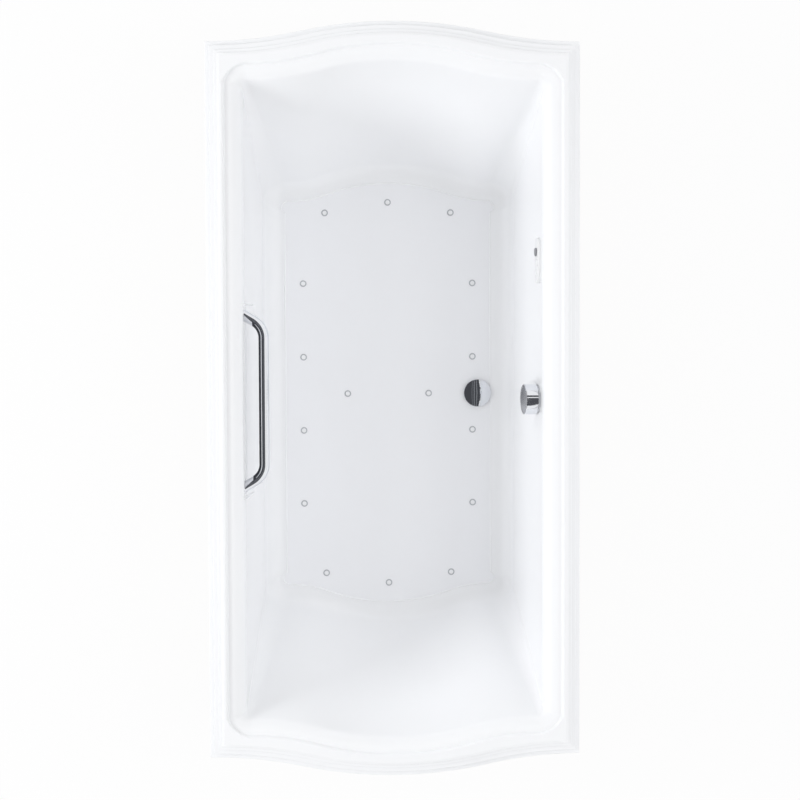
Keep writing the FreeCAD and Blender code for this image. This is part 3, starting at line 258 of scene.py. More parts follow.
def birch_plywood():
    """Birch plywood: pale veneer with drawn-out grain."""
    tree, shader, place = start("birch_plywood")
    drawn = add(
        tree, "ShaderNodeMapping", {"Vector": place, "Scale": (9.0, 1.0, 1.0)}
    ).outputs["Vector"]
    lines = add(
        tree,
        "ShaderNodeTexNoise",
        {"Vector": drawn, "Scale": cells(110), "Detail": 6.0, "Distortion": 0.6},
    ).outputs["Fac"]
    veneer = add(
        tree,
        "ShaderNodeMix",
        {"Factor": lines, "A": rgba(linear("B98F5C")), "B": rgba(linear("E3C597"))},
        data_type="RGBA",
    )
    tree.links.new(veneer.outputs[MIXED_COLOUR], shader.inputs["Base Color"])
    shader.inputs["Roughness"].default_value = 0.62
    grain(tree, shader, drawn, 110, 0.2, 0.6, Detail=6.0, Distortion=0.6)


def make_materials(colours):
    """Every finish of the bath."""
    cast_acrylic(colours)
    floor_acrylic(colours)
    glass_fibre(colours)
    birch_plywood()
    plated("chrome_plate", colours.chrome, 0.055, 0.02)
    plated("satin_chrome", linear("B4B5B9"), 0.24, 0.04)
    plated("rough_brass", linear("B89A55"), 0.32, 0.06)
    brushed("zinc_steel", linear("A9ADB2"), 0.38)
    brushed("turned_steel", linear("C9CCD0"), 0.25)
    moulded("jet_ring_plastic", colours.jet_ring, 0.35)
    moulded("jet_button_plastic", colours.acrylic, 0.25)
    moulded("keypad_plastic", colours.keypad, 0.3)
    moulded("dark_key_plastic", colours.dark_key, 0.3)
    for name, code, *settings in MOULDINGS:
        moulded(name, linear(code), *settings)


# The mouldings out of sight: name, colour, roughness, grain size and height in
# millimetres and the spread of the colour. Pipes and the impeller are sleek, the
# boxes and the blower are spark-eroded, rubber is dull and foam is beaded.
MOULDINGS = (
    ("white_pipe_plastic", "E4E5E3", 0.35),
    ("grey_duct_plastic", "8E9296", 0.5, 2.5, 0.12),
    ("black_blower_plastic", "2B2D30", 0.45, 1.2, 0.1),
    ("white_impeller_plastic", "D9DADA", 0.42),
    ("grey_box_plastic", "C3C6C8", 0.45, 1.2, 0.1),
    ("black_rubber", "1E1F21", 0.7, 0.8, 0.08),
    ("foam_block_plastic", "D8DEE6", 0.85, 4.0, 0.6, 0.05),
    ("cable_plastic", "3A3D42", 0.4),
)
# Which carried-over nodes take each finish.
FINISH_NODES = {
    "birch_plywood": ["base_board"],
    "foam_block_plastic": ["support_blocks"],
    "zinc_steel": ["grab_bar_backing_plates", "grab_bar_nuts"],
    "grey_duct_plastic": ["air_channel"],
    "white_pipe_plastic": ["supply_pipe"],
    "black_blower_plastic": ["blower_housing", "blower_deck", "blower_cover"],
    "black_rubber": ["blower_feet", "waste_gasket", "stopper_seal", "overflow_gasket"],
    "turned_steel": ["blower_motor", "impeller_shaft", "knob_crank"],
    "white_impeller_plastic": ["impeller"],
    "chrome_plate": ["waste_flange", "overflow_retainer"],
    "rough_brass": [
        "waste_shoe", "lift_plunger", "overflow_pipe", "drain_tee", "overflow_housing",
    ],
    "cable_plastic": ["control_cable"],
    "grey_box_plastic": ["keypad_back", "control_box", "control_box_lid"],
}

# ---- mesh tools
WELD = 0.002  # points closer than this become one


def placed(bm, name):
    """Turns a bmesh into an object in the scene."""
    mesh = bpy.data.meshes.new(name)
    bm.to_mesh(mesh)
    bm.free()
    made = bpy.data.objects.new(name, mesh)
    bpy.context.scene.collection.objects.link(made)
    return made


def piece(bm, name, body, finishes, replaces, sharp=35.0):
    """Turns a bmesh into a finished piece that rides on a body."""
    bmesh.ops.remove_doubles(bm, verts=bm.verts, dist=WELD * MM)
    bmesh.ops.recalc_face_normals(bm, faces=bm.faces)
    made = placed(bm, name)
    made.data.shade_smooth()
    made.data.set_sharp_from_angle(angle=math.radians(sharp))
    for finish in finishes:
        made.data.materials.append(bpy.data.materials[finish])
    made.modifiers.new("even_flats", "WEIGHTED_NORMAL").keep_sharp = True
    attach(made, body)
    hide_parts(*replaces)


def rounded(corners):
    """A line whose corners, given as (x, y, radius), are rounded."""
    points = [Vector(corner[:2]) for corner in corners]
    line = [points[0]]
    for before, here, after, corner in zip(points, points[1:], points[2:], corners[1:]):
        radius = corner[2]
        if not radius:
            line.append(here)
            continue
        come = (here - before).normalized()
        leave = (after - here).normalized()
        half = come.angle(leave) / 2
        back = radius * math.tan(half)
        centre = here + (leave - come).normalized() * radius / math.cos(half)
        first = here - come * back - centre
        last = here + leave * back - centre
        for k in range(ROUND_STEPS + 1):
            share = k / ROUND_STEPS
            a = math.sin((1 - share) * 2 * half) / math.sin(2 * half)
            b = math.sin(share * 2 * half) / math.sin(2 * half)
            line.append(centre + first * a + last * b)
    line.append(points[-1])
    return line


def millimetres(corners):
    """The same corners in metres."""
    return [tuple(value * MM for value in corner) for corner in corners]


def profile(corners):
    """The (x, y) points, in metres, of a rounded line given in millimetres."""
    return [(point.x, point.y) for point in rounded(millimetres(corners))]


def only(made, kind):
    """The vertices, edges or faces among what an operator made."""
    return [item for item in made if isinstance(item, kind)]


def closed_ring(bm, points):
    """A new loop of vertices joined by edges."""
    ring = [bm.verts.new(point) for point in points]
    for a, b in zip(ring, ring[1:] + ring[:1]):
        bm.edges.new((a, b))
    return ring


def ring_edges(bm, ring):
    """The edges round a loop of vertices."""
    return [bm.edges.get(pair) for pair in zip(ring, ring[1:] + ring[:1])]


def grown(bm, ring, points, finish=0):
    """Extrudes a loop and moves its new vertices to the points."""
    made = bmesh.ops.extrude_edge_only(bm, edges=ring_edges(bm, ring))["geom"]
    fresh = {tuple(v.co): v for v in only(made, BMVert)}
    for face in only(made, BMFace):
        face.material_index = finish
    ring = [fresh[tuple(v.co)] for v in ring]
    for vert, point in zip(ring, points):
        vert.co = point
    return ring


def filled(bm, edges, finish, normal=UP):
    """Fills the flat space between loops of edges."""
    made = bmesh.ops.triangle_fill(bm, edges=edges, use_beauty=True, normal=normal)["geom"]
    for face in only(made, BMFace):
        face.material_index = finish


def turned(bm, line, place, steps, finish=0):
    """Turns a line of (radius, height) points about local Z, in its place."""
    verts = [bm.verts.new(place @ Vector((x, 0, z))) for x, z in line]
    edges = [bm.edges.new(pair) for pair in zip(verts, verts[1:])]
    before = set(bm.faces)
    bmesh.ops.spin(
        bm,
        geom=verts + edges,
        cent=place.translation,
        axis=place.to_3x3() @ UP,
        angle=2 * math.pi,
        steps=steps,
        use_merge=True,
    )
    for face in set(bm.faces) - before:
        face.material_index = finish


def circle(radius, place, steps):
    """Points round a circle in its place."""
    turns = [2 * math.pi * k / steps for k in range(steps)]
    return [place @ Vector((radius * math.cos(a), radius * math.sin(a), 0)) for a in turns]


def oval(half, radius, z, place):
    """Points round a shape with straight sides and round ends, local Y along it."""
    points = []
    for k in range(FINE_STEPS):
        angle = 2 * math.pi * (k + 0.5) / FINE_STEPS
        y = radius * math.sin(angle) + math.copysign(half, math.sin(angle))
        points.append(place @ Vector((radius * math.cos(angle), y, z)))
    return points


def raised(place, height):
    """The same place, higher along its own Z."""
    return place @ Matrix.Translation((0, 0, height))


def in_order(verts):
    """The vertices of one loop, in order round it."""
    left = set(verts)
    ring = [verts[0]]
    left.discard(verts[0])
    while left:
        near = [e.other_vert(ring[-1]) for e in ring[-1].link_edges]
        step = next(v for v in near if v in left)
        ring.append(step)
        left.discard(step)
    return ring


# ---- geometry
# Fixed places along the side walls: the middle, the overflow's patch, the grab
# bar's seat with its soft ends, the boss behind it and the keypad's patch.
SIDE_STOPS = [0, 60, 236, 239, 252, 420]
# How much of each end's bow curves outwards in its middle, at the top and floor.
TOP_CROWN = 0.5
FLOOR_CROWN = 0.7


def plan(half_width, half_length, corner, bow, turn):
    """One loop of the tub's plan as (point, outward normal) pairs."""
    inner = half_width - corner
    slope = 2 * math.atan(bow / inner)
    back = (1 - turn) * inner / math.sin(slope)
    crown = turn * inner / math.sin(slope)
    end = half_length - corner
    last = SIDE_STOPS[-1] * MM
    quarter = [((half_width, y * MM), (1, 0)) for y in SIDE_STOPS]
    for k in range(1, SIDE_STEPS):
        quarter.append(((half_width, last + (end - last) * k / SIDE_STEPS), (1, 0)))
    for k in range(CORNER_STEPS if corner else 1):
        angle = math.pi / 2 * k / CORNER_STEPS
        c, s = math.cos(angle), math.sin(angle)
        quarter.append(((inner + corner * c, end + corner * s), (c, s)))
    for k in range(0 if corner else 1, BACK_STEPS):
        c, s = math.cos(slope * k / BACK_STEPS), math.sin(slope * k / BACK_STEPS)
        quarter.append(((inner - back * s, half_length + back * (1 - c)), (s, c)))
    base = half_length + back * (1 - math.cos(slope)) - crown * math.cos(slope)
    for k in range(CROWN_STEPS, -1, -1):
        c, s = math.cos(slope * k / CROWN_STEPS), math.sin(slope * k / CROWN_STEPS)
        quarter.append(((crown * s, base + crown * c), (s, c)))

    def flipped(pairs, sx, sy):
        return [((sx * x, sy * y), (sx * nx, sy * ny)) for (x, y), (nx, ny) in pairs]

    loop = quarter + flipped(quarter[:-1], -1, 1)[::-1]
    loop += flipped(quarter[1:], -1, -1) + flipped(quarter[1:-1], 1, -1)[::-1]
    return [(Vector(point), Vector(normal)) for point, normal in loop]


class Basin:
    """The basin's walls: straight lines between a loop at the ledge and one at the floor."""

    def __init__(self, sizes):
        self.roll = sizes.roll
        self.cove = sizes.cove
        self.skin = sizes.skin
        self.deck = TUB_HIGH.z
        self.ledge = self.deck - sizes.ledge_drop
        self.floor = self.deck - sizes.basin_depth
        self.side_lean = self.common_lean(sizes.basin_width / 2, sizes.floor_width / 2)
        end_lean = self.common_lean(sizes.basin_length / 2, sizes.floor_length / 2)
        self.top_x = sizes.basin_width / 2 - self.reach(self.roll, self.side_lean)
        top_y = sizes.basin_length / 2 - self.reach(self.roll, end_lean)
        drop = self.ledge - self.floor
        low_x = self.top_x - drop * math.tan(self.side_lean)
        low_y = top_y - drop * math.tan(end_lean)
        self.top = plan(self.top_x, top_y, sizes.top_corner, sizes.basin_bow, TOP_CROWN)
        self.low = plan(low_x, low_y, sizes.floor_corner, sizes.basin_bow, FLOOR_CROWN)

    def common_lean(self, top, floor):
        """Angle from vertical of the wall between the roll and the cove."""
        run = top - floor
        drop = (self.ledge - self.roll) - (self.floor + self.cove)
        return math.atan2(run, drop) - math.asin((self.roll + self.cove) / math.hypot(run, drop))

    def reach(self, radius, lean):
        """How far a rounding reaches past the sharp corner that it rounds."""
        return radius * math.tan((math.pi / 2 - lean) / 2)

    def leans(self, normal_of):
        """Each column's lean, seen along its normal at the top (0) or at the floor (1)."""
        drop = self.ledge - self.floor
        return [
            math.atan2((top[0] - low[0]).dot((top, low)[normal_of][1]), drop)
            for top, low in zip(self.top, self.low)
        ]

    def line(self, column, z):
        """A column's point on the straight wall at a height, and its outward normal."""
        share = (self.ledge - z) / (self.ledge - self.floor)
        (top, out_top), (low, out_low) = self.top[column], self.low[column]
        return top.lerp(low, share), out_top.lerp(out_low, share).normalized()

    def lip(self, out, z):
        """A loop beside the roll's start, further out."""
        ring = []
        for (point, normal), lean in zip(self.top, self.leans(0)):
            ring.append((*(point + normal * (self.reach(self.roll, lean) + out)), z))
        return ring

    def rolled(self, share, skin):
        """A loop on the rolled edge."""
        ring = []
        for column, lean in enumerate(self.leans(0)):
            turn = (math.pi / 2 - lean) * share
            radius = self.roll - skin
            z = self.ledge - self.roll + radius * math.cos(turn)
            point, normal = self.line(column, z)
            off = self.reach(self.roll, lean) - radius * math.sin(turn)
            ring.append((*(point + normal * (off + (self.ledge - z) * math.tan(lean))), z))
        return ring

    def wall(self, z, skin):
        """A loop on the straight walls at a height."""
        ring = []
        for column, lean in enumerate(self.leans(0)):
            point, normal = self.line(column, z)
            ring.append((*(point + normal * skin / math.cos(lean)), z))
        return ring

    def coved(self, share, skin):
        """A loop on the cove, from the wall (0) to the floor (1)."""
        ring = []
        for column, lean in enumerate(self.leans(1)):
            turn = (math.pi / 2 - lean) * (1 - share)
            radius = self.cove + skin
            z = self.floor + self.cove - radius * math.cos(turn)
            point, normal = self.line(column, z)
            off = radius * math.sin(turn) - self.reach(self.cove, lean)
            ring.append((*(point + normal * (off - (z - self.floor) * math.tan(lean))), z))
        return ring

    def flat(self, inset, z):
        """A loop on the floor, inside the cove's end."""
        ring = []
        for (point, normal), lean in zip(self.low, self.leans(1)):
            ring.append((*(point - normal * (self.reach(self.cove, lean) + inset)), z))
        return ring

    def wall_place(self, y, z):
        """On the right wall: local X up it, Y along the tub, Z into the basin."""
        lean = self.side_lean
        x = self.top_x - (self.ledge - z) * math.tan(lean)
        normal = Vector((-math.cos(lean), 0, math.sin(lean)))
        upward = Vector((math.sin(lean), 0, math.cos(lean)))
        facing = Matrix((upward, (0, 1, 0), normal)).transposed().to_4x4()
        return Matrix.Translation((x, y, z)) @ facing


# The rim's moulding, as (inset, height over its foot, rounding): four soft steps.
RIM_STEPS = [
    (0, 0, 0), (0, 16, 1.2), (11.4, 16.6, 1.5), (11.4, 26, 1), (22.6, 26.4, 1.2),
    (22.6, 31.6, 0.9), (30.8, 32, 1), (30.8, 36.4, 0.9), (37.1, 38, 3), (37.8, 38, 0),
]
RIM_HEIGHT = 38
RIM_HOLLOW = [(8, 0), (8, 8), (20, 8), (20, 20), (38, 24), (38, 30)]
LEDGE_LEAST = 0.2  # how near the ledge's step may come to the roll
# The raised bead round the floor panel and the panel's drop inside it.
BEAD = [(0.6, 0), (1.0, 0.45), (1.8, 0.8), (2.6, 0.8), (3.4, 0.45), (3.8, -0.2), (4.6, -1)]
PANEL_DROP = 1
# Heights of the loops on the walls, among them the edges of the seat and of the
# patches. The patches open the wall round the overflow and the keypad.
WALL_HEIGHTS = [480, 425, 405, 340, 280, 220, 180]
PATCH_LOW, PATCH_HIGH = 405, 480
PATCH_LEAST_X = 300
OVERFLOW_COLUMNS = (-60, 60)
KEYPAD_COLUMNS = (252, 420)
# The grab bar's seat in the left wall: how far out it lies, the heights where it
# starts to fade and ends, its half length, and that of the boss on the back.
SEAT_OUT = 365
SEAT_FLAT = 425
SEAT_FADE = 340
SEAT_HALF = 236
BOSS_HALF = 239
SLACK = 0.1  # room for rounding when columns are compared
SEAT_SHARE = 0.7936  # how far down the roll the seat starts
# Holes in the tub.
JET_HOLE = 5.3
WASTE_HOLE = 26
OVERFLOW_HOLE = 24
KEYPAD_HOLE = 13
NUDGE = 1e-6  # puts a slot's points on its middle line all on one side
# The keypad: its height on the wall, half its straight part, its plate and keys.
KEYPAD_HEIGHT = 463
KEYPAD_NECK_HALF, KEYPAD_NECK_RADIUS, KEYPAD_NECK_DEPTH = 25, 12, 8
KEYPAD_HALF, KEYPAD_RADIUS, KEYPAD_THICK = 37, 19, 8
WELL_GAP, WELL_FLOOR, WELL_LIP = 0.3, 1.5, 0.5
KEY_FOOT = 3.4
# Each key: node, body, place along the plate, radius, how proud it stands, finish
# and slot.
KEYS = (
    ("key_power", "power_key", 20.4, 10.5, 3.5, "dark_key_plastic", "key_dark"),
    ("key_up", "up_key", -4.6, 7.5, 1.4, "keypad_plastic", "keypad_plastic"),
    ("key_down", "down_key", -29.6, 7.5, 1.4, "keypad_plastic", "keypad_plastic"),
)
# The grab bar: half the distance between its studs and the lean of its legs.
BAR_HALF_SPAN = 211
BAR_LEAN = 31
STUD = [(0, 0), (5, 0), (5, 31), (4, 32), (0, 32)]  # as (radius, depth)
# The waste stopper: its height over its seat, its dome's height and its edge.
STOPPER_RISE = 11
STOPPER_CROWN = 8
STOPPER_EDGE = 1.5
# The overflow knob: its height, and where the satin face starts.
KNOB_OUT = 36
KNOB_FACE = 35.2
# The air jets: how far they stand over the floor and how far their stems go down.
JET_RISE = 2.4
JET_STEM, JET_DEPTH = 5, 22


def jet_spots():
    """Where the jets stand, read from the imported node: the middle of each island's box."""
    mesh = frame["nodes"]["air_jets"].data
    bm = bmesh.new()
    bm.from_mesh(mesh)
    bmesh.ops.remove_doubles(bm, verts=bm.verts, dist=0.01 * MM)
    spots = []
    left = set(bm.verts)
    while left:
        group, edge = set(), [left.pop()]
        while edge:
            vert = edge.pop()
            group.add(vert)
            near = {e.other_vert(vert) for e in vert.link_edges} & left
            left -= near
            edge += near
        xs = [v.co.x for v in group]
        ys = [v.co.y for v in group]
        spots.append(((min(xs) + max(xs)) / 2, (min(ys) + max(ys)) / 2))
    bm.free()
    return sorted(spots)


def seat_line(basin, z):
    """How far out the grab bar's seat lies at a height, or None off the seat."""
    if z < SEAT_FADE * MM:
        return None
    if z >= SEAT_FLAT * MM:
        return SEAT_OUT * MM
    fade_x = basin.top_x - (basin.ledge - SEAT_FADE * MM) * math.tan(basin.side_lean)
    share = (z / MM - SEAT_FADE) / (SEAT_FLAT - SEAT_FADE)
    return fade_x + (SEAT_OUT * MM - fade_x) * share


def press_seat(basin, verts, half, skin):
    """Presses the grab bar's flat seat into the left wall, or its boss out of the back."""
    for vert in verts:
        if vert.co.x > 0 or abs(vert.co.y) > (half + SLACK) * MM:
            continue
        out = seat_line(basin, vert.co.z)
        if out is not None and -vert.co.x < out + skin:
            vert.co.x = -(out + skin)


def wall_patch(bm, basin, columns, outline, finish_in, finish_out):
    """Opens the right wall between two columns and closes it again round a hole."""
    y_low, y_high = columns
    inside, outside = [], []
    for face in bm.faces:
        centre = face.calc_center_median()
        if (
            centre.x < PATCH_LEAST_X * MM
            or not y_low * MM < centre.y < y_high * MM
            or not PATCH_LOW * MM < centre.z < PATCH_HIGH * MM
        ):
            continue
        wall_x = basin.top_x - (basin.ledge - centre.z) * math.tan(basin.side_lean)
        (inside if centre.x < wall_x + basin.skin / 2 else outside).append(face)
    lips = [
        [e for f in faces for e in f.edges if sum(g in faces for g in e.link_faces) == 1]
        for faces in (inside, outside)
    ]
    bmesh.ops.delete(bm, geom=inside + outside, context="FACES")
    inner_ring = closed_ring(bm, outline(0.0))
    outer_ring = grown(bm, inner_ring, outline(-basin.skin), finish_out)
    normal = basin.wall_place(0, basin.ledge).to_3x3() @ UP
    for lip, ring, finish in zip(lips, (inner_ring, outer_ring), (finish_in, finish_out)):
        filled(bm, [e for e in lip if e.is_valid] + ring_edges(bm, ring), finish, normal)


class BathOperator:
    """Shared by the operators below."""

    bl_options = {"REGISTER", "UNDO"}


class BATH_OT_tub(BathOperator, bpy.types.Operator):
    """Builds the moulded acrylic tub with its backing"""

    bl_idname = "bath.tub"
    bl_label = "Tub moulding"

    def execute(self, context):
        sizes = context.scene.bath_sizes
        basin = Basin(sizes)
        bm = bmesh.new()
        acrylic, floor, backing = 0, 1, 2
        half_width = TUB_HIGH.x
        half_length = TUB_HIGH.y - sizes.rim_bow
        foot = basin.deck - RIM_HEIGHT * MM

        def course(inset, z):
            loop = plan(half_width - inset, half_length - inset, 0, sizes.rim_bow, TOP_CROWN)
            return [(point.x, point.y, z) for point, normal in loop]

        # the rim, from its foot up to the deck, and its hollow underside
        foot_ring = closed_ring(bm, course(0, foot))
        ring = foot_ring
        for inset, height in profile(RIM_STEPS)[1:]:
            ring = grown(bm, ring, course(inset, foot + height), acrylic)
        deck_edges = ring_edges(bm, ring)
        ring = foot_ring
        for inset, height in millimetres(RIM_HOLLOW):
            ring = grown(bm, ring, course(inset, foot + height), backing)
        under_edges = ring_edges(bm, ring)

        shares = sorted([k / ROLL_STEPS for k in range(ROLL_STEPS + 1)] + [SEAT_SHARE])

        def walls(ring, skin, finish):
            for share in shares:
                ring = grown(bm, ring, basin.rolled(share, skin), finish)
            for z in WALL_HEIGHTS:
                ring = grown(bm, ring, basin.wall(z * MM, skin), finish)
            for k in range(COVE_STEPS + 1):
                ring = grown(bm, ring, basin.coved(k / COVE_STEPS, skin), finish)
            return ring

        # the ledge, the roll, the walls, the cove and the floor's bead
        drop = sizes.ledge_drop / MM
        step = profile([(7, 0, 0), (3, 0, 4), (-1, -drop, 3), (-4, -drop, 0)])
        mouth = sizes.ledge_margin
        ring = closed_ring(bm, basin.lip(mouth + step[0][0], basin.deck))
        filled(bm, deck_edges + ring_edges(bm, ring), acrylic)
        for out, rise in step[1:]:
            out = max(mouth + out, LEDGE_LEAST * MM)
            ring = grown(bm, ring, basin.lip(out, basin.deck + rise), acrylic)
        ring = walls(ring, 0.0, acrylic)
        for inset, rise in millimetres(BEAD):
            ring = grown(bm, ring, basin.flat(inset, basin.floor + rise), acrylic)
        panel_edges = ring_edges(bm, ring)
        inner_verts = list(bm.verts)
        press_seat(basin, inner_verts, SEAT_HALF, 0.0)

        # the back of the same skin
        collar = mouth + basin.skin
        ring = closed_ring(bm, basin.lip(collar, basin.deck - basin.skin))
        filled(bm, under_edges + ring_edges(bm, ring), backing)
        ring = grown(bm, ring, basin.lip(collar, basin.ledge - basin.skin), backing)
        ring = walls(ring, basin.skin, backing)
        back_edges = ring_edges(bm, ring)
        press_seat(basin, set(bm.verts) - set(inner_verts), BOSS_HALF, basin.skin)

        # the floor panel and its holes
        waste_low, waste_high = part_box("waste_gasket")
        waste = (waste_low + waste_high) / 2
        holes = [(x, y, JET_HOLE, JET_HOLE_STEPS) for x, y in jet_spots()]
        holes.append((waste.x, waste.y, WASTE_HOLE, FINE_STEPS))
        holes_top, holes_low = [], []
        for x, y, radius, count in holes:
            spot = Matrix.Translation((x, y, basin.floor - PANEL_DROP * MM))
            ring = closed_ring(bm, circle(radius * MM, spot, count))
            holes_top += ring_edges(bm, ring)
            spot = Matrix.Translation((x, y, basin.floor - basin.skin))
            ring = grown(bm, ring, circle(radius * MM, spot, count), backing)
            holes_low += ring_edges(bm, ring)
        filled(bm, panel_edges + holes_top, floor)
        filled(bm, back_edges + holes_low, backing)

        # the overflow's hole and the keypad's slot in the right wall
        overflow = overflow_place(basin)
        keypad = keypad_place(basin)

        def overflow_outline(out):
            return circle(OVERFLOW_HOLE * MM, raised(overflow, out), HOLE_STEPS)

        def keypad_outline(out):
            points = []
            for x, y, z in circle(KEYPAD_HOLE * MM, Matrix.Translation((0, 0, out)), HOLE_STEPS):
                shift = math.copysign(KEYPAD_NECK_HALF * MM, y + NUDGE)
                points.append(keypad @ Vector((x, y + shift, z)))
            return points

        wall_patch(bm, basin, OVERFLOW_COLUMNS, overflow_outline, acrylic, backing)
        wall_patch(bm, basin, KEYPAD_COLUMNS, keypad_outline, acrylic, backing)
        piece(
            bm, "tub_moulding", "tub", ["cast_acrylic", "floor_acrylic", "glass_fibre"],
            ["tub_shell"],
        )
        return {"FINISHED"}


def overflow_place(basin):
    """The overflow's centre on the right wall, read from its joint."""
    joint = next(j for j in frame["joints"] if j["name"] == "overflow_knob_turn")
    return basin.wall_place(joint["pos_m"][1], joint["pos_m"][2])


def keypad_place(basin):
    """The keypad's centre on the right wall, read from its plate's box."""
    low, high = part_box("keypad_housing")
    return basin.wall_place((low.y + high.y) / 2, KEYPAD_HEIGHT * MM)


class BATH_OT_bar(BathOperator, bpy.types.Operator):
    """Builds the chrome grab bar"""

    bl_idname = "bath.grab_bar"
    bl_label = "Grab bar"

    def execute(self, context):
        sizes = context.scene.bath_sizes
        low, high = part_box("grab_bar")
        radius, bend = sizes.bar_radius, sizes.bar_bend
        seat = -SEAT_OUT * MM
        z = (low.z + high.z) / 2
        half_span = BAR_HALF_SPAN * MM
        lean = math.radians(BAR_LEAN)
        turn = math.pi / 2 - lean
        leg = Vector((math.cos(lean), -math.sin(lean), 0))
        reach = high.x - radius - seat
        corner = Vector((high.x - radius, half_span - reach * math.tan(lean), z))
        begin = Vector((seat - 2 * radius, half_span + 2 * radius * math.tan(lean), z))
        back = bend * math.tan(turn / 2)
        first = corner - leg * back
        centre = first + Vector((-math.sin(lean), -math.cos(lean), 0)) * bend

        # one leg, then a bend and a straight run, twice
        bm = bmesh.new()
        facing = leg.to_track_quat("Z", "Y").to_matrix().to_4x4()
        ring = closed_ring(bm, circle(radius, Matrix.Translation(begin) @ facing, FINE_STEPS))
        ring = grown(bm, ring, [v.co + first - begin for v in ring])
        along = Vector((0, -2 * (corner.y - back), 0))
        home = Vector((-leg.x, leg.y, 0)) * (first - begin).length
        for step in (along, home):
            bent = bmesh.ops.spin(
                bm, geom=ring + ring_edges(bm, ring), cent=centre, axis=(0, 0, -1),
                angle=turn, steps=BEND_STEPS,
            )["geom_last"]
            moved = bmesh.ops.extrude_edge_only(bm, edges=only(bent, BMEdge))["geom"]
            verts = only(moved, BMVert)
            bmesh.ops.translate(bm, verts=verts, vec=step)
            centre = Vector((centre.x, -centre.y, z))
            ring = in_order(verts)
        bmesh.ops.holes_fill(bm, edges=[e for e in bm.edges if e.is_boundary])

        # both ends cut flush with the seat, and a stud behind each
        cut = bmesh.ops.bisect_plane(
            bm, geom=list(bm.verts) + list(bm.edges) + list(bm.faces),
            plane_co=(seat, 0, 0), plane_no=(1, 0, 0), clear_inner=True,
        )["geom_cut"]
        bmesh.ops.holes_fill(bm, edges=only(cut, BMEdge))
        sideways = Matrix.Rotation(-math.pi / 2, 4, "Y")
        for y in (-half_span, half_span):
            spot = Matrix.Translation((seat, y, z)) @ sideways
            turned(bm, millimetres(STUD), spot, STUD_STEPS, 1)
        piece(bm, "chrome_grab_bar", "tub", ["chrome_plate", "zinc_steel"], ["grab_bar"])
        return {"FINISHED"}


class BATH_OT_jets(BathOperator, bpy.types.Operator):
    """Builds the sixteen air jets"""

    bl_idname = "bath.air_jets"
    bl_label = "Air jets"

    def execute(self, context):
        sizes = context.scene.bath_sizes
        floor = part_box("air_jets")[1].z - JET_RISE * MM
        radius = sizes.jet_radius / MM
        ring = profile([
            (0, -JET_DEPTH, 0), (JET_STEM, -JET_DEPTH, 0), (JET_STEM, 0, 0), (radius, 0, 0),
            (radius, 0.9, 0.5), (radius - 1, 1.5, 0.6), (5.9, 1.5, 0.4), (5.9, 0.7, 0),
        ])
        button = profile([
            (5.9, 0.7, 0), (5.4, 0.7, 0), (5.4, 1.9, 0.5), (4, JET_RISE, 1.5),
            (1.1, JET_RISE, 0.3), (1.1, 1.4, 0), (0, 1.4, 0),
        ])
        bm = bmesh.new()
        for x, y in jet_spots():
            place = Matrix.Translation((x, y, floor))
            turned(bm, ring, place, HOLE_STEPS, 0)
            turned(bm, button, place, HOLE_STEPS, 1)
        piece(
            bm, "air_jet_heads", "tub", ["jet_ring_plastic", "jet_button_plastic"],
            ["air_jets"],
        )
        return {"FINISHED"}


class BATH_OT_waste(BathOperator, bpy.types.Operator):
    """Builds the domed waste stopper"""

    bl_idname = "bath.waste"
    bl_label = "Waste stopper"

    def execute(self, context):
        sizes = context.scene.bath_sizes
        low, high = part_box("stopper_cap")
        centre = (low + high) / 2
        radius = sizes.stopper_radius / MM
        rim = radius - STOPPER_EDGE
        sphere = (rim ** 2 + STOPPER_CROWN ** 2) / (2 * STOPPER_CROWN)
        line = [
            (0, -50, 0), (3.4, -50, 0), (4, -49, 0), (4, 0, 0), (radius, 0, 0.8),
            (radius, 2.4, 1.0),
        ]
        for k in range(DOME_STEPS, -1, -1):
            angle = math.asin(rim / sphere) * k / DOME_STEPS
            height = STOPPER_RISE - sphere * (1 - math.cos(angle))
            line.append((sphere * math.sin(angle), height, 0))
        place = Matrix.Translation((centre.x, centre.y, high.z - STOPPER_RISE * MM))
        bm = bmesh.new()
        turned(bm, profile(line), place, TURN_STEPS)
        piece(bm, "stopper_dome", "stopper", ["chrome_plate"], ["stopper_cap"], 50.0)
        return {"FINISHED"}


class BATH_OT_overflow(BathOperator, bpy.types.Operator):
    """Builds the overflow's turning knob"""

    bl_idname = "bath.overflow"
    bl_label = "Overflow knob"

    def execute(self, context):
        sizes = context.scene.bath_sizes
        place = overflow_place(Basin(sizes))
        radius = sizes.knob_radius / MM
        line = profile([
            (0, -36, 0), (5, -36, 0), (5, 31, 0), (radius - 5, 31, 1), (radius - 5, 5, 0.5),
            (radius, 5, 0.8), (radius, KNOB_OUT, 2.2), (radius - 5, KNOB_OUT, 0),
            (radius - 6, KNOB_OUT - 0.6, 0.4), (0, KNOB_OUT - 0.6, 0),
        ])
        bm = bmesh.new()
        turned(bm, line, place, KNOB_STEPS)
        outward = place.col[2].to_3d()
        for face in bm.faces:
            if (face.calc_center_median() - place.translation).dot(outward) > KNOB_FACE * MM:
                face.material_index = 1
        piece(
            bm, "chrome_overflow_knob", "knob", ["chrome_plate", "satin_chrome"],
            ["overflow_knob"],
        )
        return {"FINISHED"}


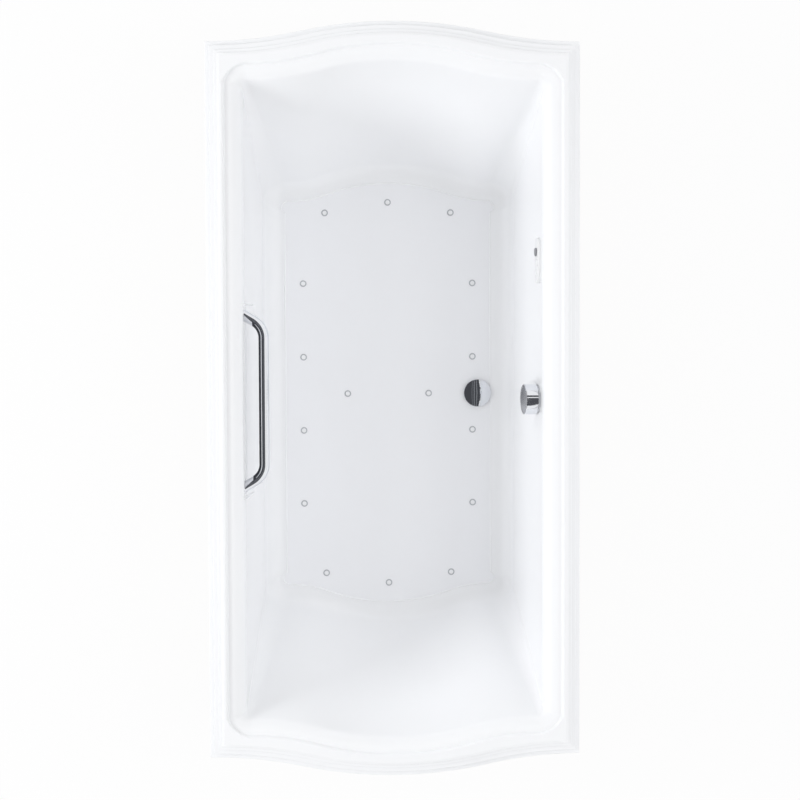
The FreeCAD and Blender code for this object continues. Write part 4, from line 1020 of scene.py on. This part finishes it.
class BATH_OT_keypad(BathOperator, bpy.types.Operator):
    """Builds the keypad plate and its three keys"""

    bl_idname = "bath.keypad"
    bl_label = "Keypad"

    def execute(self, context):
        place = keypad_place(Basin(context.scene.bath_sizes))
        bm = bmesh.new()
        neck = [KEYPAD_NECK_HALF * MM, KEYPAD_NECK_RADIUS * MM]
        ring = closed_ring(bm, oval(*neck, -KEYPAD_NECK_DEPTH * MM, place))
        bm.faces.new(ring)
        ring = grown(bm, ring, oval(*neck, 0, place))
        for inset, rise in profile([(0, 0, 0), (0, KEYPAD_THICK, 2), (3, KEYPAD_THICK, 0)])[:-1]:
            ring = grown(bm, ring, oval(KEYPAD_HALF * MM, KEYPAD_RADIUS * MM - inset, rise, place))
        top_edges = ring_edges(bm, ring)
        for _, _, shift, radius, *_ in KEYS:
            spot = place @ Matrix.Translation((0, shift * MM, 0))
            bore = radius + WELL_GAP
            lip = KEYPAD_THICK + WELL_LIP
            line = profile([
                (radius + 2, KEYPAD_THICK, 0), (radius + 1.4, lip, 0.3), (bore, lip, 0.2),
                (bore, WELL_FLOOR, 0),
            ])
            ring = closed_ring(bm, circle(line[0][0], raised(spot, line[0][1]), FINE_STEPS))
            top_edges += ring_edges(bm, ring)
            for out, height in line[1:]:
                ring = grown(bm, ring, circle(out, raised(spot, height), FINE_STEPS))
            bm.faces.new(ring)
        filled(bm, top_edges, 0, place.to_3x3() @ UP)
        piece(
            bm, "keypad_plate", "tub", ["keypad_plastic"], ["keypad_housing"]
        )
        for node, body, shift, radius, proud, finish, slot in KEYS:
            top = KEYPAD_THICK + proud
            line = profile([
                (0, KEY_FOOT, 0), (radius, KEY_FOOT, 0), (radius, top, 0.8), (radius - 2, top, 0),
                (radius - 2.5, top - 0.4, 0.3), (0, top - 0.5, 0),
            ])
            bm = bmesh.new()
            turned(bm, line, place @ Matrix.Translation((0, shift * MM, 0)), FINE_STEPS)
            piece(bm, node + "_cap", body, [finish], [node])
        return {"FINISHED"}


class BATH_OT_frame(BathOperator, bpy.types.Operator):
    """Gives the carried-over pieces of the frame their finishes"""

    bl_idname = "bath.frame_finishes"
    bl_label = "Frame finishes"

    def execute(self, context):
        make_materials(context.scene.bath_colours)
        for finish, nodes in FINISH_NODES.items():
            for node in nodes:
                mesh = frame["nodes"][node].data
                mesh.materials.clear()
                mesh.materials.append(bpy.data.materials[finish])
        return {"FINISHED"}


# ---- stage
CAMERA_PLACE = (-0.1335, 0.1874, 3.8485)
CAMERA_TURN = (-0.0366, -0.0263, -0.0045)
FOCAL_PIXELS = 1381.57
PICTURE_PIXELS = 800
SENSOR = 36.0
CAMERA_SHIFT = (0.03125, -0.03125)
CLIP_END = 100.0

FLOOR_RADIUS = 40.0
FLOOR_STEPS = 64
FLOOR_WHITE = 0.92  # how much of the floor the camera sees as plain white
AMBIENT = 0.56

# Lamps: name, azimuth from +X, elevation, width in metres, power in watts.
LAMPS = (
    ("key_lamp", 180, 25, 1.8, 112.5),
    ("low_fill", 0, 30, 2.2, 32.0),
    ("high_fill", 0, 60, 2.2, 32.0),
    ("top_lamp", 0, 89, 2.2, 20.5),
    ("far_lamp", 90, 30, 2.2, 12.5),
    ("near_lamp", -90, 30, 2.2, 14.0),
)
LAMP_AIM = 0.4
LAMP_REACH = 5.0

# Cards that only mirrors see: name, centre, size across, size along, turn, colour.
CARDS = (
    ("dark_ceiling", (-4.85, 0.0, 8.0), 14.3, 44.0, 0, "4A4B4F"),
    ("far_left_gap", (-2.1, 0.0, 7.9), 0.3, 30.0, 0, "77797D"),
    ("left_gap", (-0.88, 0.0, 7.9), 0.36, 30.0, 0, "8E9094"),
    ("right_gap", (0.5, 0.0, 7.9), 0.36, 30.0, 0, "8E9094"),
    ("knob_block", (0.5, -0.2125, 0.95), 0.07, 0.655, 0, "55565A"),
    ("knob_line", (0.5, 0.2525, 0.95), 0.07, 0.145, 0, "55565A"),
    ("bar_card", (-0.345, 0.0, 0.4365), 0.073, 0.41, 90, "404145"),
)


def emptied(owner):
    """The node tree of a material or world, with nothing in it."""
    owner.use_nodes = True
    owner.node_tree.nodes.clear()
    return owner.node_tree


def card(name, centre, across, along, turn, colour):
    """A flat card that only mirrors see."""
    bm = bmesh.new()
    matrix = Matrix.Translation(centre) @ Matrix.Rotation(math.radians(turn), 4, "Y")
    matrix @= Matrix.Diagonal((across, along, 1, 1))
    bmesh.ops.create_grid(bm, x_segments=1, y_segments=1, size=0.5, matrix=matrix)
    made = placed(bm, name)
    finish = bpy.data.materials.new(name)
    tree = emptied(finish)
    glow = add(tree, "ShaderNodeEmission", {"Color": rgba(linear(colour)), "Strength": 1.0})
    add(tree, "ShaderNodeOutputMaterial", {"Surface": glow.outputs["Emission"]})
    made.data.materials.append(finish)
    for ray in ("camera", "diffuse", "shadow", "transmission"):
        setattr(made, "visible_" + ray, False)


def seen_directly(tree):
    """1 for rays from the camera, a mirror or clear glass, and 0 for the rest."""
    path = add(tree, "ShaderNodeLightPath")
    seen = path.outputs["Is Camera Ray"]
    for ray in ("Is Glossy Ray", "Is Transmission Ray"):
        both = {0: seen, 1: path.outputs[ray]}
        seen = add(tree, "ShaderNodeMath", both, operation="MAXIMUM").outputs[0]
    return seen


class BATH_OT_stage(BathOperator, bpy.types.Operator):
    """Builds the floor, the light and the camera"""

    bl_idname = "bath.stage"
    bl_label = "Stage"

    def execute(self, context):
        scene = context.scene
        self.make_floor()
        self.make_world(scene)
        self.make_lamps()
        for settings in CARDS:
            card(*settings)
        camera = bpy.data.cameras.new("camera")
        camera.sensor_width = SENSOR
        camera.lens = FOCAL_PIXELS / PICTURE_PIXELS * SENSOR
        camera.shift_x, camera.shift_y = CAMERA_SHIFT
        camera.clip_end = CLIP_END
        eye = bpy.data.objects.new("camera", camera)
        eye.location = CAMERA_PLACE
        eye.rotation_euler = CAMERA_TURN
        scene.collection.objects.link(eye)
        scene.camera = eye
        scene.view_settings.view_transform = "Standard"
        return {"FINISHED"}

    def make_floor(self):
        """A wide pale floor that shows white, with only a trace of the shadow."""
        bm = bmesh.new()
        bmesh.ops.create_circle(bm, cap_ends=True, radius=FLOOR_RADIUS, segments=FLOOR_STEPS)
        floor = placed(bm, "studio_floor")
        finish = bpy.data.materials.new("studio_paper")
        tree = emptied(finish)
        paper = add(tree, "ShaderNodeBsdfDiffuse", {"Color": rgba(linear("EFEFF1"))})
        white = add(tree, "ShaderNodeEmission", {"Color": (1, 1, 1, 1), "Strength": 1.0})
        share = add(
            tree, "ShaderNodeMath", {0: seen_directly(tree), 1: FLOOR_WHITE}, operation="MULTIPLY"
        )
        mix = add(
            tree, "ShaderNodeMixShader",
            {0: share.outputs[0], 1: paper.outputs[0], 2: white.outputs[0]},
        )
        add(tree, "ShaderNodeOutputMaterial", {"Surface": mix.outputs[0]})
        floor.data.materials.append(finish)

    def make_world(self, scene):
        """Even light from all round, seen as plain white."""
        world = bpy.data.worlds.new("studio")
        scene.world = world
        tree = emptied(world)
        ambient = add(tree, "ShaderNodeBackground", {"Color": (1, 1, 1, 1), "Strength": AMBIENT})
        white = add(tree, "ShaderNodeBackground", {"Color": (1, 1, 1, 1), "Strength": 1.0})
        mix = add(
            tree, "ShaderNodeMixShader",
            {0: seen_directly(tree), 1: ambient.outputs[0], 2: white.outputs[0]},
        )
        add(tree, "ShaderNodeOutputWorld", {"Surface": mix.outputs[0]})

    def make_lamps(self):
        """A strong soft lamp from the left, which shades the left wall, and weak ones round it."""
        for name, azimuth, elevation, width, power in LAMPS:
            across = math.cos(math.radians(elevation))
            way = Vector((
                across * math.cos(math.radians(azimuth)),
                across * math.sin(math.radians(azimuth)),
                math.sin(math.radians(elevation)),
            ))
            data = bpy.data.lights.new(name, "AREA")
            data.shape = "SQUARE"
            data.size = width
            data.energy = power
            lamp = bpy.data.objects.new(name, data)
            lamp.location = Vector((0, 0, LAMP_AIM)) + way * LAMP_REACH
            lamp.rotation_euler = (-way).to_track_quat("-Z", "Y").to_euler()
            lamp.visible_glossy = False
            bpy.context.scene.collection.objects.link(lamp)


OPERATORS = (
    BATH_OT_frame, BATH_OT_tub, BATH_OT_bar, BATH_OT_jets, BATH_OT_waste, BATH_OT_overflow,
    BATH_OT_keypad, BATH_OT_stage,
)


class BATH_PT_panel(bpy.types.Panel):
    """Lists the bath's sizes, colours and builders"""

    bl_idname = "BATH_PT_panel"
    bl_label = "Air bath"
    bl_space_type = "VIEW_3D"
    bl_region_type = "UI"
    bl_category = "Air bath"

    def draw(self, context):
        for group in (context.scene.bath_sizes, context.scene.bath_colours):
            for name in group.__annotations__:
                self.layout.prop(group, name)
        for operator in OPERATORS:
            self.layout.operator(operator.bl_idname)


CLASSES = (BathSizes, BathColours) + OPERATORS + (BATH_PT_panel,)


def register():
    """Adds the classes and the scene's properties."""
    for cls in CLASSES:
        bpy.utils.register_class(cls)
    bpy.types.Scene.bath_sizes = PointerProperty(type=BathSizes)
    bpy.types.Scene.bath_colours = PointerProperty(type=BathColours)


def unregister():
    """Takes them away again."""
    del bpy.types.Scene.bath_sizes
    del bpy.types.Scene.bath_colours
    for cls in reversed(CLASSES):
        bpy.utils.unregister_class(cls)


def main():
    """Builds the whole bath."""
    register()
    bpy.ops.bath.frame_finishes()
    bpy.ops.bath.tub()
    bpy.ops.bath.grab_bar()
    bpy.ops.bath.air_jets()
    bpy.ops.bath.waste()
    bpy.ops.bath.overflow()
    bpy.ops.bath.keypad()
    bpy.ops.bath.stage()
    bpy.context.view_layer.update()


if __name__ == "__main__":
    main()
